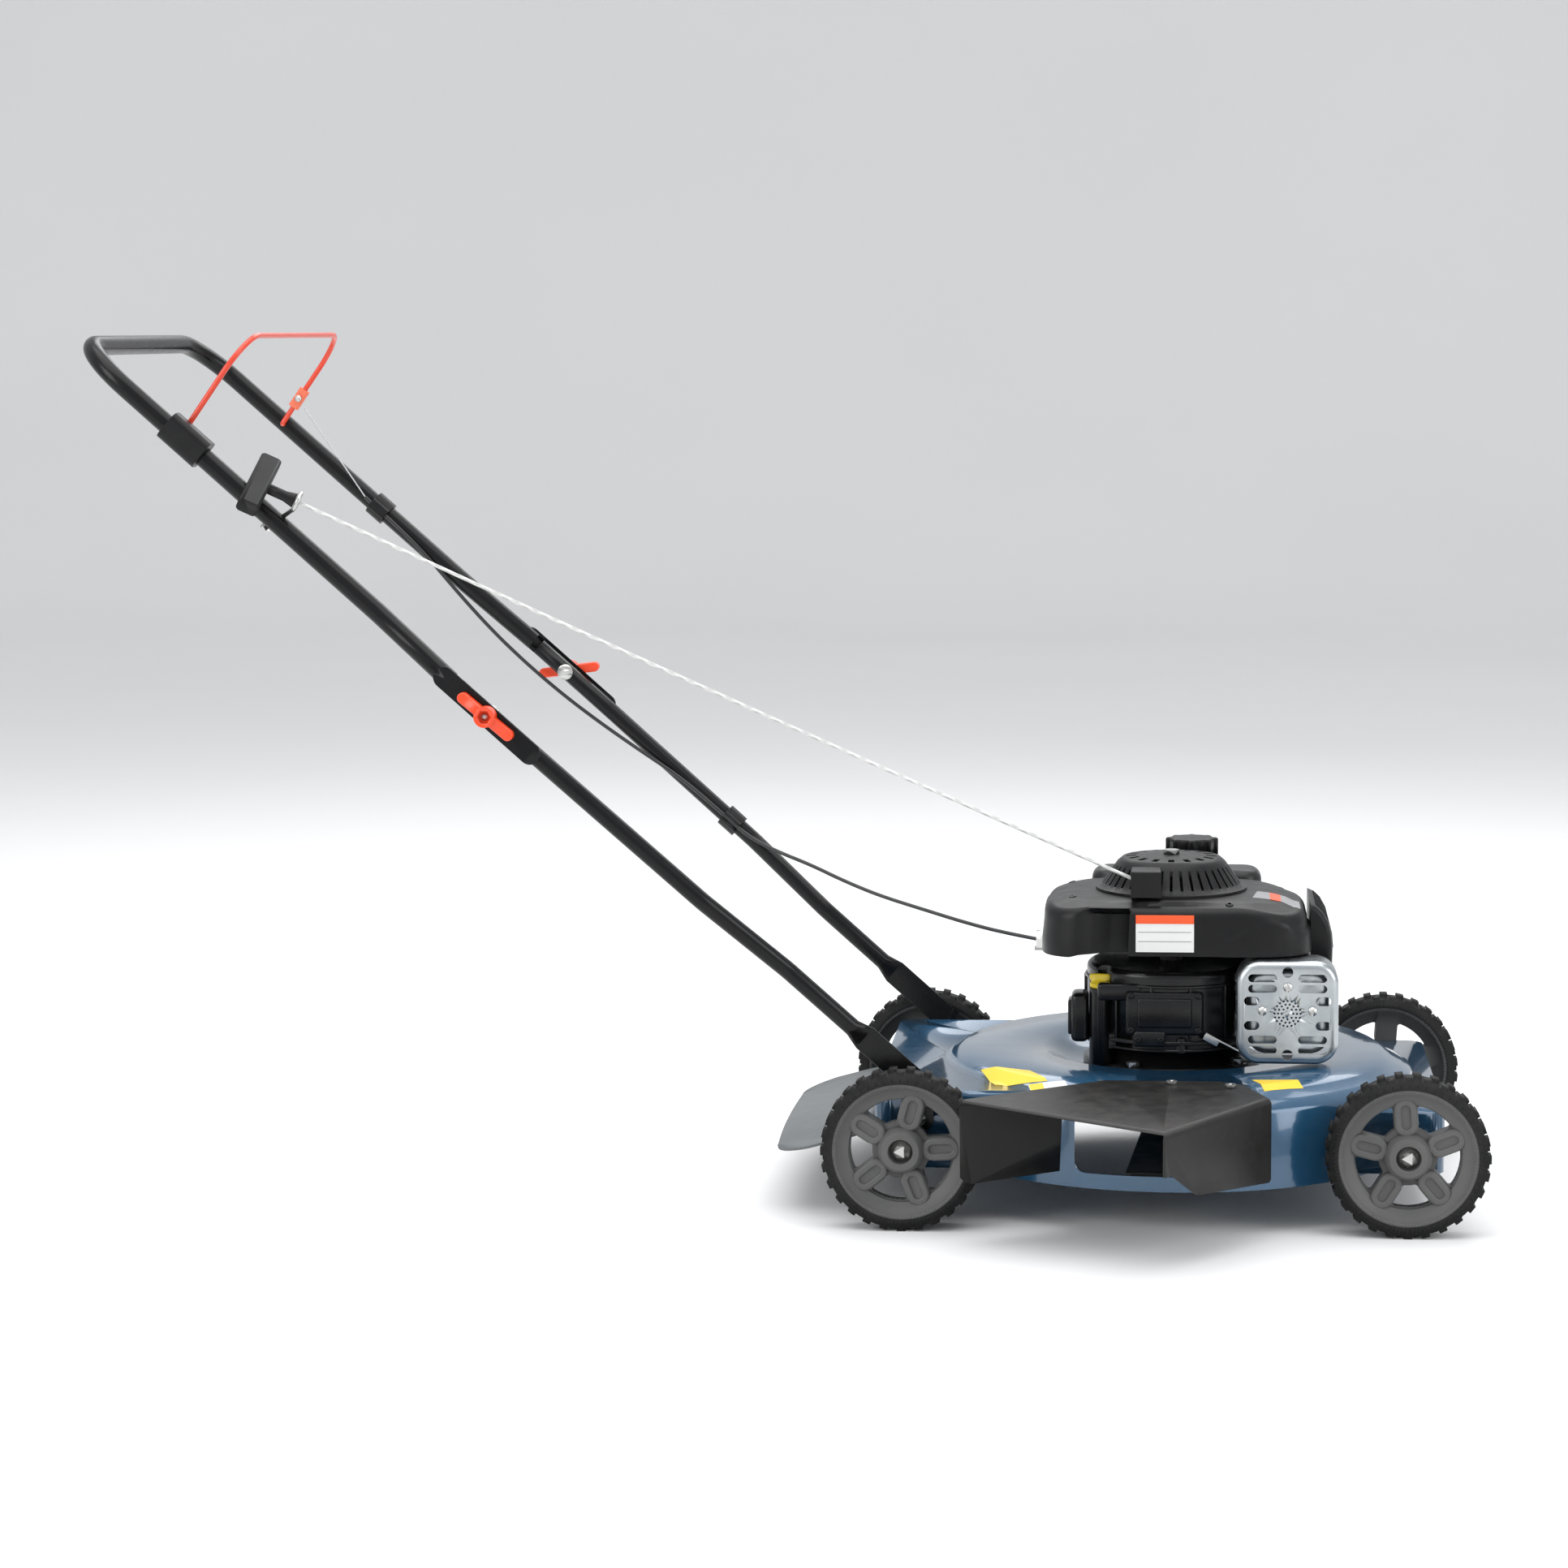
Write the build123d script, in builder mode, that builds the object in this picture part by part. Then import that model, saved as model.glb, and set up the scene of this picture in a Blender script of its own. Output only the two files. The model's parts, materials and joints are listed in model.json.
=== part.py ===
"""A walk-behind rotary lawn mower: pressed deck, four wheels, petrol engine, side chute and folding handle.

Millimetres, +Z up, +X forward, the discharge side towards -Y. The origin lies on the ground under the
middle of the whole machine's bounding box, and every place below is given from the blade's axis.
"""
from build123d import *

import math
import os

os.makedirs("parts", exist_ok=True)

# ---------------------------------------------------------------- driving dimensions
wheel_radius = 89.0            # over the lugs
wheel_width = 45.0
wheel_face = 272.0             # outer face of a wheel from the middle of the machine
front_axle_x = 258.0
rear_axle_x = -295.5
lug_count = 28
lug_height = 3.5
lug_length = 9.0
rim_radius = 76.0
rim_wall = 4.0
axle_radius = 6.4

sheet = 3.0                    # pressed steel of the deck
pan_radius = 278.0
skirt_bottom = 50.0
shoulder_z = 134.0
plateau_z = 160.0
plateau_radius = 241.0
seat_z = 140.0                 # the sunk seat that the engine stands on
seat_radius = 115.0
deck_hole_radius = 58.0
platform_half_width = 215.0
platform_bottom = 60.0
front_platform_x = 301.5
front_platform_z = 128.0
rear_platform_x = -329.5
rear_platform_z = 148.0

grip_x = -1201.5               # the bar that the user pushes
grip_z = 979.4
handle_slope = 0.8955          # rise of the handle per millimetre towards the rear
handle_half_width = 250.0
fold_x = -747.0
fold_half_width = 265.0
upper_tube_radius = 11.0
lower_tube_radius = 10.0
tube_wall = 1.5
grip_bend = 70.0

crank_radius = 12.5
flange_radius = 101.0
housing_bottom = 270.0
housing_skirt = 284.0          # lower edge of the housing in front of its rear lobe
housing_top = 345.0
housing_wall = 2.5
dome_radius = 82.8
blade_length = 530.0
blade_width = 60.0
blade_z = 64.0

chute_wall = 3.0
chute_depth = 97.0
chute_back_y = -229.0
chute_top_z = 164.2
chute_slope = 2.66             # fall of the chute's roof outwards, in degrees
chute_reach = 454.4            # furthest corner of the chute from the middle

knob_depth = 18.0
knob_length = 76.0
running_gap = 0.06             # radial, where one piece turns in another
body_gap = 0.3                 # between pieces that move past each other
fixed_gap = 0.1                # round a fixed fastener

# ---------------------------------------------------------------- derived places
web_inner = fold_half_width + lower_tube_radius + body_gap
web_outer = web_inner + 2.5
knob_inner = web_outer + body_gap
knob_reach = knob_inner + knob_depth
crank_x = (-grip_x + upper_tube_radius - front_axle_x - wheel_radius) / 2
crank_y = (chute_reach - knob_reach) / 2
wheel_middle = wheel_face - wheel_width / 2
wheel_inner = wheel_face - wheel_width


def at(x, y, z):
    """A point given from the blade's axis at ground level."""
    return Vector(crank_x + x, crank_y + y, z)


def level(z, x=0.0, y=0.0):
    """A horizontal plane at height z, centred on (x, y)."""
    return Plane(origin=at(x, y, z))


def side(x, y, z, facing=-1):
    """An upright plane seen from the discharge side (-1) or from the other side (+1), local y upwards."""
    return Plane(origin=at(x, y, z), x_dir=(-facing, 0, 0), z_dir=(0, facing, 0))


def facing_front(x, y=0.0, z=0.0):
    """An upright plane facing forwards, local x to +Y and local y upwards."""
    return Plane(origin=at(x, y, z), x_dir=(0, 1, 0), z_dir=(1, 0, 0))


def across(start, end):
    """A plane at start whose normal runs to end."""
    return Plane(origin=start, z_dir=end - start)


def handle_z(x):
    """Height of the handle's centre line at x."""
    return grip_z + (grip_x - x) * handle_slope


handle_rise = math.atan(handle_slope)
down_handle = Vector(math.cos(handle_rise), 0, -math.sin(handle_rise))
off_handle = Vector(math.sin(handle_rise), 0, math.cos(handle_rise))


def on_handle(x, y):
    """A point of the handle's centre line."""
    return at(x, y, handle_z(x))


def smooth_radii(points):
    """Arc radii of a cord's route: 0.45 of the shorter run over the tangent of half the turn."""
    radii = []
    for before, here, after in zip(points, points[1:], points[2:]):
        first = here - before
        second = after - here
        half_turn = math.radians(first.get_angle(second)) / 2
        radii.append(0.45 * min(first.length, second.length) / math.tan(half_turn))
    return radii


# ---------------------------------------------------------------- wheels
spoke_count = 5
spoke_width = 26.0
hub_radius = 22.0
hub_recess_radius = 14.0
hub_recess_depth = 10.0
web_thickness = 14.0
window_inner = 32.0
window_outer = 57.0
window_corner = 3.0
hub_inset = 1.0               # hub face behind the tyre face
bolt_end = 10.0               # thread left inside the deck's wall


def make_tyre(name, axle_x, facing):
    """Solid tyre with two staggered rows of lugs, one lug of the outer row at the very bottom."""
    middle = side(axle_x, facing * wheel_middle, wheel_radius, facing)
    tread = wheel_radius - lug_height
    with BuildPart() as tyre:
        with BuildSketch(middle):
            Circle(tread)
            Circle(rim_radius, mode=Mode.SUBTRACT)
        extrude(amount=wheel_width / 2 - 1.5, both=True)
        with BuildSketch(middle):
            Circle(tread - 4)
            Circle(rim_radius, mode=Mode.SUBTRACT)
        extrude(amount=wheel_width / 2, both=True)
        for row, turn in ((1, 0.0), (-1, 180.0 / lug_count)):
            with BuildSketch(middle.offset(row * 0.5)):
                with PolarLocations(wheel_radius - lug_height, lug_count, start_angle=turn - 90):
                    Rectangle(2 * lug_height, lug_length)
            extrude(amount=row * (wheel_width / 2 - 2.5))
    tyre.part.label = name
    export_step(tyre.part, f"parts/{name}.step")
    return tyre.part


def make_hub(name, axle_x, facing, first_spoke):
    """Five-spoked moulded wheel centre, recessed for the bolt's head on its outer side."""
    middle = side(axle_x, facing * wheel_middle, wheel_radius, facing)
    half = wheel_width / 2
    with BuildPart() as hub:
        with BuildSketch(middle):
            Circle(rim_radius)
            Circle(axle_radius + running_gap, mode=Mode.SUBTRACT)
        extrude(amount=web_thickness / 2, both=True)
        with BuildSketch(middle) as windows:
            Circle(window_outer)
            Circle(window_inner, mode=Mode.SUBTRACT)
            with PolarLocations(window_outer, spoke_count, start_angle=first_spoke):
                Rectangle(window_outer, spoke_width, mode=Mode.SUBTRACT)
            fillet(windows.vertices(), window_corner)
        extrude(amount=web_thickness, both=True, mode=Mode.SUBTRACT)
        with BuildSketch(middle):
            Circle(rim_radius)
            Circle(rim_radius - rim_wall, mode=Mode.SUBTRACT)
        extrude(amount=half - 2, both=True)
        with BuildSketch(middle):
            Circle(hub_radius)
            Circle(axle_radius + running_gap, mode=Mode.SUBTRACT)
        extrude(amount=half - hub_inset, both=True)
        with BuildSketch(middle.offset(half - hub_inset)):
            Circle(hub_recess_radius)
        extrude(amount=-hub_recess_depth, mode=Mode.SUBTRACT)
    hub.part.label = name
    export_step(hub.part, f"parts/{name}.step")
    return hub.part


for end, axle_x, first_spoke in (("front", front_axle_x, 22.0), ("rear", rear_axle_x, 3.0)):
    for hand, facing in (("right", -1), ("left", 1)):
        make_tyre(f"tyre_{end}_{hand}", axle_x, facing)
        make_hub(f"hub_{end}_{hand}", axle_x, facing, first_spoke)

# one bolt through each hub: nut inside the deck's wall, collar up to the hub, washer and head in its recess
head_seat = wheel_face - hub_inset - hub_recess_depth + body_gap
with BuildPart() as wheel_bolts:
    for axle_x in (front_axle_x, rear_axle_x):
        for facing in (-1, 1):
            wall = side(axle_x, facing * platform_half_width, wheel_radius, facing)
            with BuildSketch(wall.offset(-sheet - bolt_end)):
                Circle(axle_radius)
            extrude(amount=sheet + bolt_end + head_seat - platform_half_width)
            with BuildSketch(wall.offset(-sheet)):
                RegularPolygon(9.5, 6, major_radius=False)
            extrude(amount=-7)
            with BuildSketch(wall):
                Circle(9)
            extrude(amount=wheel_inner + hub_inset - body_gap - platform_half_width)
            with BuildSketch(wall.offset(head_seat - platform_half_width)):
                Circle(11)
            extrude(amount=2)
            with BuildSketch(wall.offset(head_seat + 2 - platform_half_width)):
                RegularPolygon(6.5, 6, major_radius=False)
            extrude(amount=7)
wheel_bolts.part.label = "wheel_bolts"
export_step(wheel_bolts.part, "parts/wheel_bolts.step")

# ---------------------------------------------------------------- deck
platform_corner = 20.0
bolt_circle_radius = 92.0
engine_bolt_angles = (242.0, 325.0, 90.0)
engine_bolt_radius = 4.0
bolt_radius = 4.0
handle_bolt_places = ((-279.0, 136.0), (-279.0, 116.0))
mouth_x = (-104.5, 66.0)       # discharge opening in the skirt
mouth_z = (67.0, 132.0)
height_step = 18.0             # between the wheel's height holes
flap_rod_x = rear_platform_x - 8.0
flap_rod_z = 100.0
chute_screw_places = ((1.5, -243.0), (65.5, -255.0))
chute_screw_radius = 3.0


def pan_outline(grow):
    """Half section of the round pan, from its centre hole to its skirt, grown outwards by grow."""
    return [
        (deck_hole_radius, seat_z + grow),
        (seat_radius - grow / 2, seat_z + grow),
        (150 - grow / 2, plateau_z + grow),
        (plateau_radius + grow / 3, plateau_z + grow),
        (262 + grow / 2, 147 + grow),
        (274 + grow, 141 + grow),
        (pan_radius + grow, shoulder_z + grow),
    ]


def pan_section(grow, bottom, inner):
    """Closed half section of the pan filled down to bottom, from radius inner outwards."""
    outline = pan_outline(grow)
    return [(inner, bottom), (inner, outline[0][1])] + outline + [(pan_radius + grow, bottom)]


pan_plane = Plane(origin=at(0, 0, 0), x_dir=(1, 0, 0), z_dir=(0, -1, 0))
blade_axis = Axis(at(0, 0, 0), (0, 0, 1))
roof_normal = Vector(0, -math.sin(math.radians(chute_slope)), math.cos(math.radians(chute_slope)))
roof = Plane(origin=at(0, chute_back_y, chute_top_z), x_dir=(1, 0, 0), z_dir=roof_normal)
engine_bolt_places = [
    (bolt_circle_radius * math.cos(math.radians(a)), bolt_circle_radius * math.sin(math.radians(a)))
    for a in engine_bolt_angles
]

with BuildPart() as deck_shell:
    with BuildSketch(pan_plane):
        Polygon(*pan_section(0, skirt_bottom, 0), align=None)
    revolve(axis=blade_axis)
    for reach, top in ((front_platform_x, front_platform_z), (rear_platform_x, rear_platform_z)):
        with BuildSketch(level(platform_bottom, reach / 2)):
            RectangleRounded(abs(reach), 2 * platform_half_width, platform_corner)
            with Locations((-reach / 2, 0)):
                Circle(pan_radius - 16, mode=Mode.SUBTRACT)
        extrude(amount=top - platform_bottom)
    with BuildSketch(roof.offset(-chute_wall)):
        with Locations((33.5, -19)):
            RectangleRounded(110, 40, 12)
    extrude(amount=-24)
    with BuildSketch(pan_plane):
        Polygon(*pan_section(-sheet, skirt_bottom, 0), align=None)
    revolve(axis=blade_axis, mode=Mode.SUBTRACT)
    for reach, top in ((front_platform_x, front_platform_z), (rear_platform_x, rear_platform_z)):
        with BuildSketch(level(platform_bottom, reach / 2)):
            RectangleRounded(abs(reach) - 2 * sheet, 2 * (platform_half_width - sheet), platform_corner - sheet)
            with Locations((-reach / 2, 0)):
                Circle(pan_radius, mode=Mode.SUBTRACT)
        extrude(amount=top - platform_bottom - sheet, mode=Mode.SUBTRACT)
    with BuildSketch(side(sum(mouth_x) / 2, -pan_radius - 4, sum(mouth_z) / 2)):
        RectangleRounded(mouth_x[1] - mouth_x[0], mouth_z[1] - mouth_z[0], 12)
    extrude(amount=-50, mode=Mode.SUBTRACT)
    with BuildSketch(level(skirt_bottom)):
        Circle(deck_hole_radius)
        with Locations(*engine_bolt_places):
            Circle(engine_bolt_radius + fixed_gap)
    extrude(amount=plateau_z, mode=Mode.SUBTRACT)
    with BuildSketch(roof):
        with Locations(*[(x, y - chute_back_y) for x, y in chute_screw_places]):
            Circle(chute_screw_radius + fixed_gap)
    extrude(amount=-40, mode=Mode.SUBTRACT)
    for facing in (-1, 1):
        for axle_x in (front_axle_x, rear_axle_x):
            with BuildSketch(side(axle_x, facing * (platform_half_width + 1), wheel_radius, facing)):
                with GridLocations(1, height_step, 1, 3):
                    Circle(axle_radius + fixed_gap)
            extrude(amount=-sheet - 2, mode=Mode.SUBTRACT)
        for x, z in handle_bolt_places:
            with BuildSketch(side(x, facing * (platform_half_width + 1), z, facing)):
                Circle(bolt_radius + fixed_gap)
            extrude(amount=-sheet - 2, mode=Mode.SUBTRACT)
deck_shell.part.label = "deck_shell"
export_step(deck_shell.part, "parts/deck_shell.step")

# ---------------------------------------------------------------- discharge chute and rear flap
chute_plan = [(-84.5, 0), (-23, 0), (53.5, 0), (87.5, -17), (110.5, -69), (-4.5, -226), (-236, -93)]
chute_corner = 9.0
chute_edge = 8.0
flap_corners = ((-211.0, 82.0, 19.0, -1), (99.0, 75.0, 11.0, 1))   # x, z, radius and side of each flap's lower corner


def inset(start, end, amount):
    """The segment from start to end moved left of its direction by amount."""
    dx, dy = end[0] - start[0], end[1] - start[1]
    length = math.hypot(dx, dy)
    ox, oy = -dy / length * amount, dx / length * amount
    return (start[0] + ox, start[1] + oy), (end[0] + ox, end[1] + oy)


def beyond(start, end, extra):
    """The point that lies extra past end, seen from start."""
    length = math.hypot(end[0] - start[0], end[1] - start[1])
    return tuple(e + (e - s) * extra / length for s, e in zip(start, end))


front_wall = inset(chute_plan[5], chute_plan[4], chute_wall)
rear_wall = inset(chute_plan[0], chute_plan[6], chute_wall)
with BuildPart() as chute:
    with BuildSketch(roof) as chute_roof:
        Polygon(*chute_plan, align=None)
        fillet(chute_roof.vertices().filter_by(lambda v: -150 < v.Y < -40), chute_corner)
    extrude(amount=-chute_depth)
    roof_face = chute.faces().filter_by(roof).sort_by(Axis.Z)[-1]
    outer_edges = roof_face.edges().filter_by(lambda e: e.center().Y < crank_y - 250)
    fillet(outer_edges, chute_edge)
    with BuildSketch(roof.offset(-chute_wall)):
        Polygon(
            beyond(front_wall[1], front_wall[0], 40),
            beyond(front_wall[0], front_wall[1], 60),
            (60, 60),
            (-40, 60),
            beyond(rear_wall[1], rear_wall[0], 40),
            beyond(rear_wall[0], rear_wall[1], 40),
            align=None,
        )
    extrude(amount=-chute_depth, mode=Mode.SUBTRACT)
    with BuildSketch(pan_plane):
        Polygon(*pan_section(body_gap, 0, 0), align=None)
    revolve(axis=blade_axis, mode=Mode.SUBTRACT)
    with BuildSketch(side(0, -460, 0)) as under_lip:
        Polygon((-30, 106), (2, 106), (28, 77), (150, 62), (150, 20), (-30, 20), align=None)
        fillet(under_lip.vertices().filter_by(lambda v: 20 < v.X < 40 and v.Y > 60), 12)
    extrude(amount=-200, mode=Mode.SUBTRACT)
    for x, z, radius, hand in flap_corners:
        with BuildSketch(side(0, -460, 0)):
            with Locations((x, z)):
                Rectangle(radius + 15, radius + 15, align=(Align.MAX if hand < 0 else Align.MIN, Align.MAX))
                Circle(radius, mode=Mode.SUBTRACT)
        extrude(amount=-200, mode=Mode.SUBTRACT)
    with BuildSketch(roof):
        with Locations(*[(x, y - chute_back_y) for x, y in chute_screw_places]):
            Circle(chute_screw_radius + fixed_gap)
    extrude(amount=-chute_wall - 2, mode=Mode.SUBTRACT)
chute.part.label = "chute"
export_step(chute.part, "parts/chute.step")

with BuildPart() as chute_screws:
    for x, y in chute_screw_places:
        with BuildSketch(roof):
            with Locations((x, y - chute_back_y)):
                Circle(chute_screw_radius)
        extrude(amount=-18)
        with BuildSketch(roof):
            with Locations((x, y - chute_back_y)):
                Circle(6)
        extrude(amount=3.5)
        with BuildSketch(roof.offset(3.5)):
            with Locations((x, y - chute_back_y)):
                Circle(1.6)
        extrude(amount=-1.5, mode=Mode.SUBTRACT)
chute_screws.part.label = "chute_screws"
export_step(chute_screws.part, "parts/chute_screws.step")

flap_half_width = 198.0
flap_length = 116.0
flap_droop = 15.0              # fall of the flap towards the rear, in degrees
flap_thickness = 3.0
rod_radius = 3.0
barrel_radius = 6.0
with BuildPart() as flap_rod:
    with BuildSketch(side(flap_rod_x, -flap_half_width - 6, flap_rod_z)):
        Circle(rod_radius)
    extrude(amount=-2 * flap_half_width - 12)
    for y in (-flap_half_width - 3, flap_half_width + 3):
        with BuildSketch(Plane(origin=at(flap_rod_x, y, flap_rod_z), z_dir=(1, 0, 0))):
            Circle(rod_radius)
        extrude(amount=rear_platform_x - flap_rod_x)
flap_rod.part.label = "flap_rod"
export_step(flap_rod.part, "parts/flap_rod.step")

flap_angle = math.radians(flap_droop)
flap_plane = Plane(
    origin=at(flap_rod_x, 0, flap_rod_z),
    x_dir=(-math.cos(flap_angle), 0, -math.sin(flap_angle)),
    z_dir=(-math.sin(flap_angle), 0, math.cos(flap_angle)),
)
with BuildPart() as rear_flap:
    with BuildSketch(flap_plane.offset(-barrel_radius)) as flap_sheet:
        with BuildLine():
            Polyline((0, flap_half_width - 8), (0, 8 - flap_half_width), (30, -flap_half_width))
            Line((30, -flap_half_width), (flap_length - 45, -flap_half_width))
            ThreePointArc(
                (flap_length - 45, -flap_half_width), (flap_length - 16, 20 - flap_half_width),
                (flap_length - 4, 60 - flap_half_width),
            )
            ThreePointArc(
                (flap_length - 4, 60 - flap_half_width), (flap_length, 0), (flap_length - 4, flap_half_width - 60),
            )
            ThreePointArc(
                (flap_length - 4, flap_half_width - 60), (flap_length - 16, flap_half_width - 20),
                (flap_length - 45, flap_half_width),
            )
            Polyline((flap_length - 45, flap_half_width), (30, flap_half_width), (0, flap_half_width - 8))
        make_face()
    extrude(amount=flap_thickness)
    with BuildSketch(side(flap_rod_x, 8 - flap_half_width, flap_rod_z)):
        Circle(barrel_radius)
    extrude(amount=16 - 2 * flap_half_width)
    with BuildSketch(side(flap_rod_x, -flap_half_width, flap_rod_z)):
        Circle(rod_radius + running_gap)
    extrude(amount=-2 * flap_half_width, mode=Mode.SUBTRACT)
rear_flap.part.label = "rear_flap"
export_step(rear_flap.part, "parts/rear_flap.step")

# ---------------------------------------------------------------- engine
crank_top = 350.0
drum_radius = 97.0
sump_radius = 84.0
crankcase_bottom = 172.0
crankcase_top = 262.0
cylinder_x = (60.0, 118.0)
head_x = 146.0
plug_y, plug_z = 12.0, 225.0
carb_y = 64.0
cylinder_half = 48.0
oil_x, oil_y = -80.0, -60.0
oil_tube_radius = 13.0
oil_bore_radius = 10.2
oil_tube_top = 238.0
dome_top_radius = 62.0
dome_shoulder_z = 377.0
dome_top = 385.0
pulley_z = (354.0, 368.0)
shaft_hole = crank_radius + running_gap

with BuildPart() as engine_base:
    with BuildSketch(level(seat_z)):
        Circle(flange_radius)
    extrude(amount=10)
    with BuildSketch(level(128)):
        Circle(deck_hole_radius - 4)
    extrude(amount=12)
    with BuildSketch(level(150)):
        Circle(sump_radius)
    extrude(amount=crankcase_bottom - 150)
    with BuildSketch(level(100)):
        Circle(shaft_hole)
        with Locations(*engine_bolt_places):
            Circle(engine_bolt_radius + fixed_gap)
    extrude(amount=100, mode=Mode.SUBTRACT)
engine_base.part.label = "engine_base"
export_step(engine_base.part, "parts/engine_base.step")

with BuildPart() as engine_bolts:
    with BuildSketch(level(seat_z - sheet - 12)):
        with Locations(*engine_bolt_places):
            Circle(engine_bolt_radius)
    extrude(amount=sheet + 22)
    with BuildSketch(level(150)):
        with Locations(*engine_bolt_places):
            RegularPolygon(6.5, 6, major_radius=False)
    extrude(amount=6)
    with BuildSketch(level(seat_z - sheet)):
        with Locations(*engine_bolt_places):
            RegularPolygon(6.5, 6, major_radius=False)
    extrude(amount=-7)
engine_bolts.part.label = "engine_bolts"
export_step(engine_bolts.part, "parts/engine_bolts.step")

with BuildPart() as crankcase:
    with BuildSketch(level(crankcase_bottom)):
        Circle(drum_radius)
    extrude(amount=crankcase_top - crankcase_bottom)
    fillet(crankcase.edges().sort_by(Axis.Z)[-1], 8)
    with BuildSketch(level(176, sum(cylinder_x) / 2)):
        Rectangle(cylinder_x[1] - cylinder_x[0], 2 * cylinder_half)
    extrude(amount=crankcase_top - 176)
    with BuildSketch(facing_front(cylinder_x[0] + 40)):
        with Locations(*[(0, z) for z in range(186, 262, 12)]):
            Rectangle(2 * cylinder_half + 16, 3)
    extrude(amount=18)
    with BuildSketch(side(100, -cylinder_half, 219)):
        Circle(13.3)
    extrude(amount=30, mode=Mode.SUBTRACT)
    with BuildSketch(side(107, cylinder_half, 222, 1)):
        Circle(9.3)
    extrude(amount=30, mode=Mode.SUBTRACT)
    with BuildSketch(level(150, oil_x, oil_y)):
        Circle(oil_tube_radius + fixed_gap)
    extrude(amount=150, mode=Mode.SUBTRACT)
    with BuildSketch(level(100)):
        Circle(shaft_hole)
    extrude(amount=200, mode=Mode.SUBTRACT)
crankcase.part.label = "crankcase"
export_step(crankcase.part, "parts/crankcase.step")

with BuildPart() as cylinder_head:
    with BuildSketch(facing_front(cylinder_x[1], 0, 219)):
        RectangleRounded(2 * cylinder_half, 84, 8)
    extrude(amount=12)
    with BuildSketch(facing_front(cylinder_x[1] + 12, 0, 219)):
        with GridLocations(12, 1, 8, 1):
            Rectangle(3, 80)
    extrude(amount=head_x - cylinder_x[1] - 12)
    with BuildSketch(facing_front(cylinder_x[1] + 12, plug_y, plug_z)):
        Circle(13)
    extrude(amount=10)
    with BuildSketch(facing_front(cylinder_x[1] + 22, plug_y, plug_z)):
        Circle(11)
    extrude(amount=30, mode=Mode.SUBTRACT)
cylinder_head.part.label = "cylinder_head"
export_step(cylinder_head.part, "parts/cylinder_head.step")

with BuildPart() as spark_plug:
    plug = facing_front(cylinder_x[1] + 22, plug_y, plug_z)
    with BuildSketch(plug):
        RegularPolygon(8, 6, major_radius=False)
    extrude(amount=8)
    with BuildSketch(plug):
        Circle(5.5)
    extrude(amount=26)
    with BuildSketch(plug.offset(18)):
        Circle(9)
    extrude(amount=24)
    fillet(spark_plug.edges().sort_by(Axis.X)[-1], 4)
spark_plug.part.label = "spark_plug"
export_step(spark_plug.part, "parts/spark_plug.step")

with BuildPart() as oil_tube:
    with BuildSketch(level(150, oil_x, oil_y)):
        Circle(oil_tube_radius)
    extrude(amount=oil_tube_top - 150)
    with BuildSketch(level(158, oil_x, oil_y)):
        Circle(oil_bore_radius)
    extrude(amount=oil_tube_top, mode=Mode.SUBTRACT)
oil_tube.part.label = "oil_tube"
export_step(oil_tube.part, "parts/oil_tube.step")

with BuildPart() as oil_cap:
    with BuildSketch(level(oil_tube_top + body_gap, oil_x, oil_y)):
        Circle(oil_tube_radius - 0.2)
    extrude(amount=7)
    with BuildSketch(level(oil_tube_top + body_gap + 7, oil_x, oil_y)):
        Ellipse(13, 5, rotation=-12)
    extrude(amount=9)
    fillet(oil_cap.edges().sort_by(Axis.Z)[-1], 1.5)
    with BuildSketch(level(162, oil_x, oil_y)):
        Rectangle(5, 1.6)
    extrude(amount=oil_tube_top + 1 - 162)
oil_cap.part.label = "oil_cap"
export_step(oil_cap.part, "parts/oil_cap.step")

housing_x = (-146.5, 158.0)
housing_y = (-118.0, 92.0)
housing_middle = (sum(housing_x) / 2, sum(housing_y) / 2)
housing_size = (housing_x[1] - housing_x[0], housing_y[1] - housing_y[0])
air_hole_radius = 78.0
lobe_x = -100.0
with BuildPart() as blower_housing:
    with BuildSketch(level(housing_bottom, *housing_middle)):
        RectangleRounded(*housing_size, 48)
    extrude(amount=housing_top - housing_bottom)
    fillet(blower_housing.edges().group_by(Axis.Z)[-1], 20)
    with BuildSketch(level(housing_bottom, *housing_middle)):
        RectangleRounded(housing_size[0] - 2 * housing_wall, housing_size[1] - 2 * housing_wall, 48 - housing_wall)
    extrude(amount=housing_top - housing_bottom - 22, mode=Mode.SUBTRACT)
    with BuildSketch(level(housing_top - 22, *housing_middle)):
        RectangleRounded(housing_size[0] - 44, housing_size[1] - 44, 26)
    extrude(amount=22 - housing_wall, mode=Mode.SUBTRACT)
    with BuildSketch(level(housing_bottom)):
        Circle(air_hole_radius)
    extrude(amount=100, mode=Mode.SUBTRACT)
    with BuildSketch(side(-75.5, housing_y[0] - 10, 299)):
        Rectangle(49, 50)
    extrude(amount=-30, mode=Mode.SUBTRACT)
    with BuildSketch(level(housing_bottom, lobe_x + 150)):
        Rectangle(300, 400)
    extrude(amount=housing_skirt - housing_bottom, mode=Mode.SUBTRACT)
blower_housing.part.label = "blower_housing"
export_step(blower_housing.part, "parts/blower_housing.step")

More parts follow.
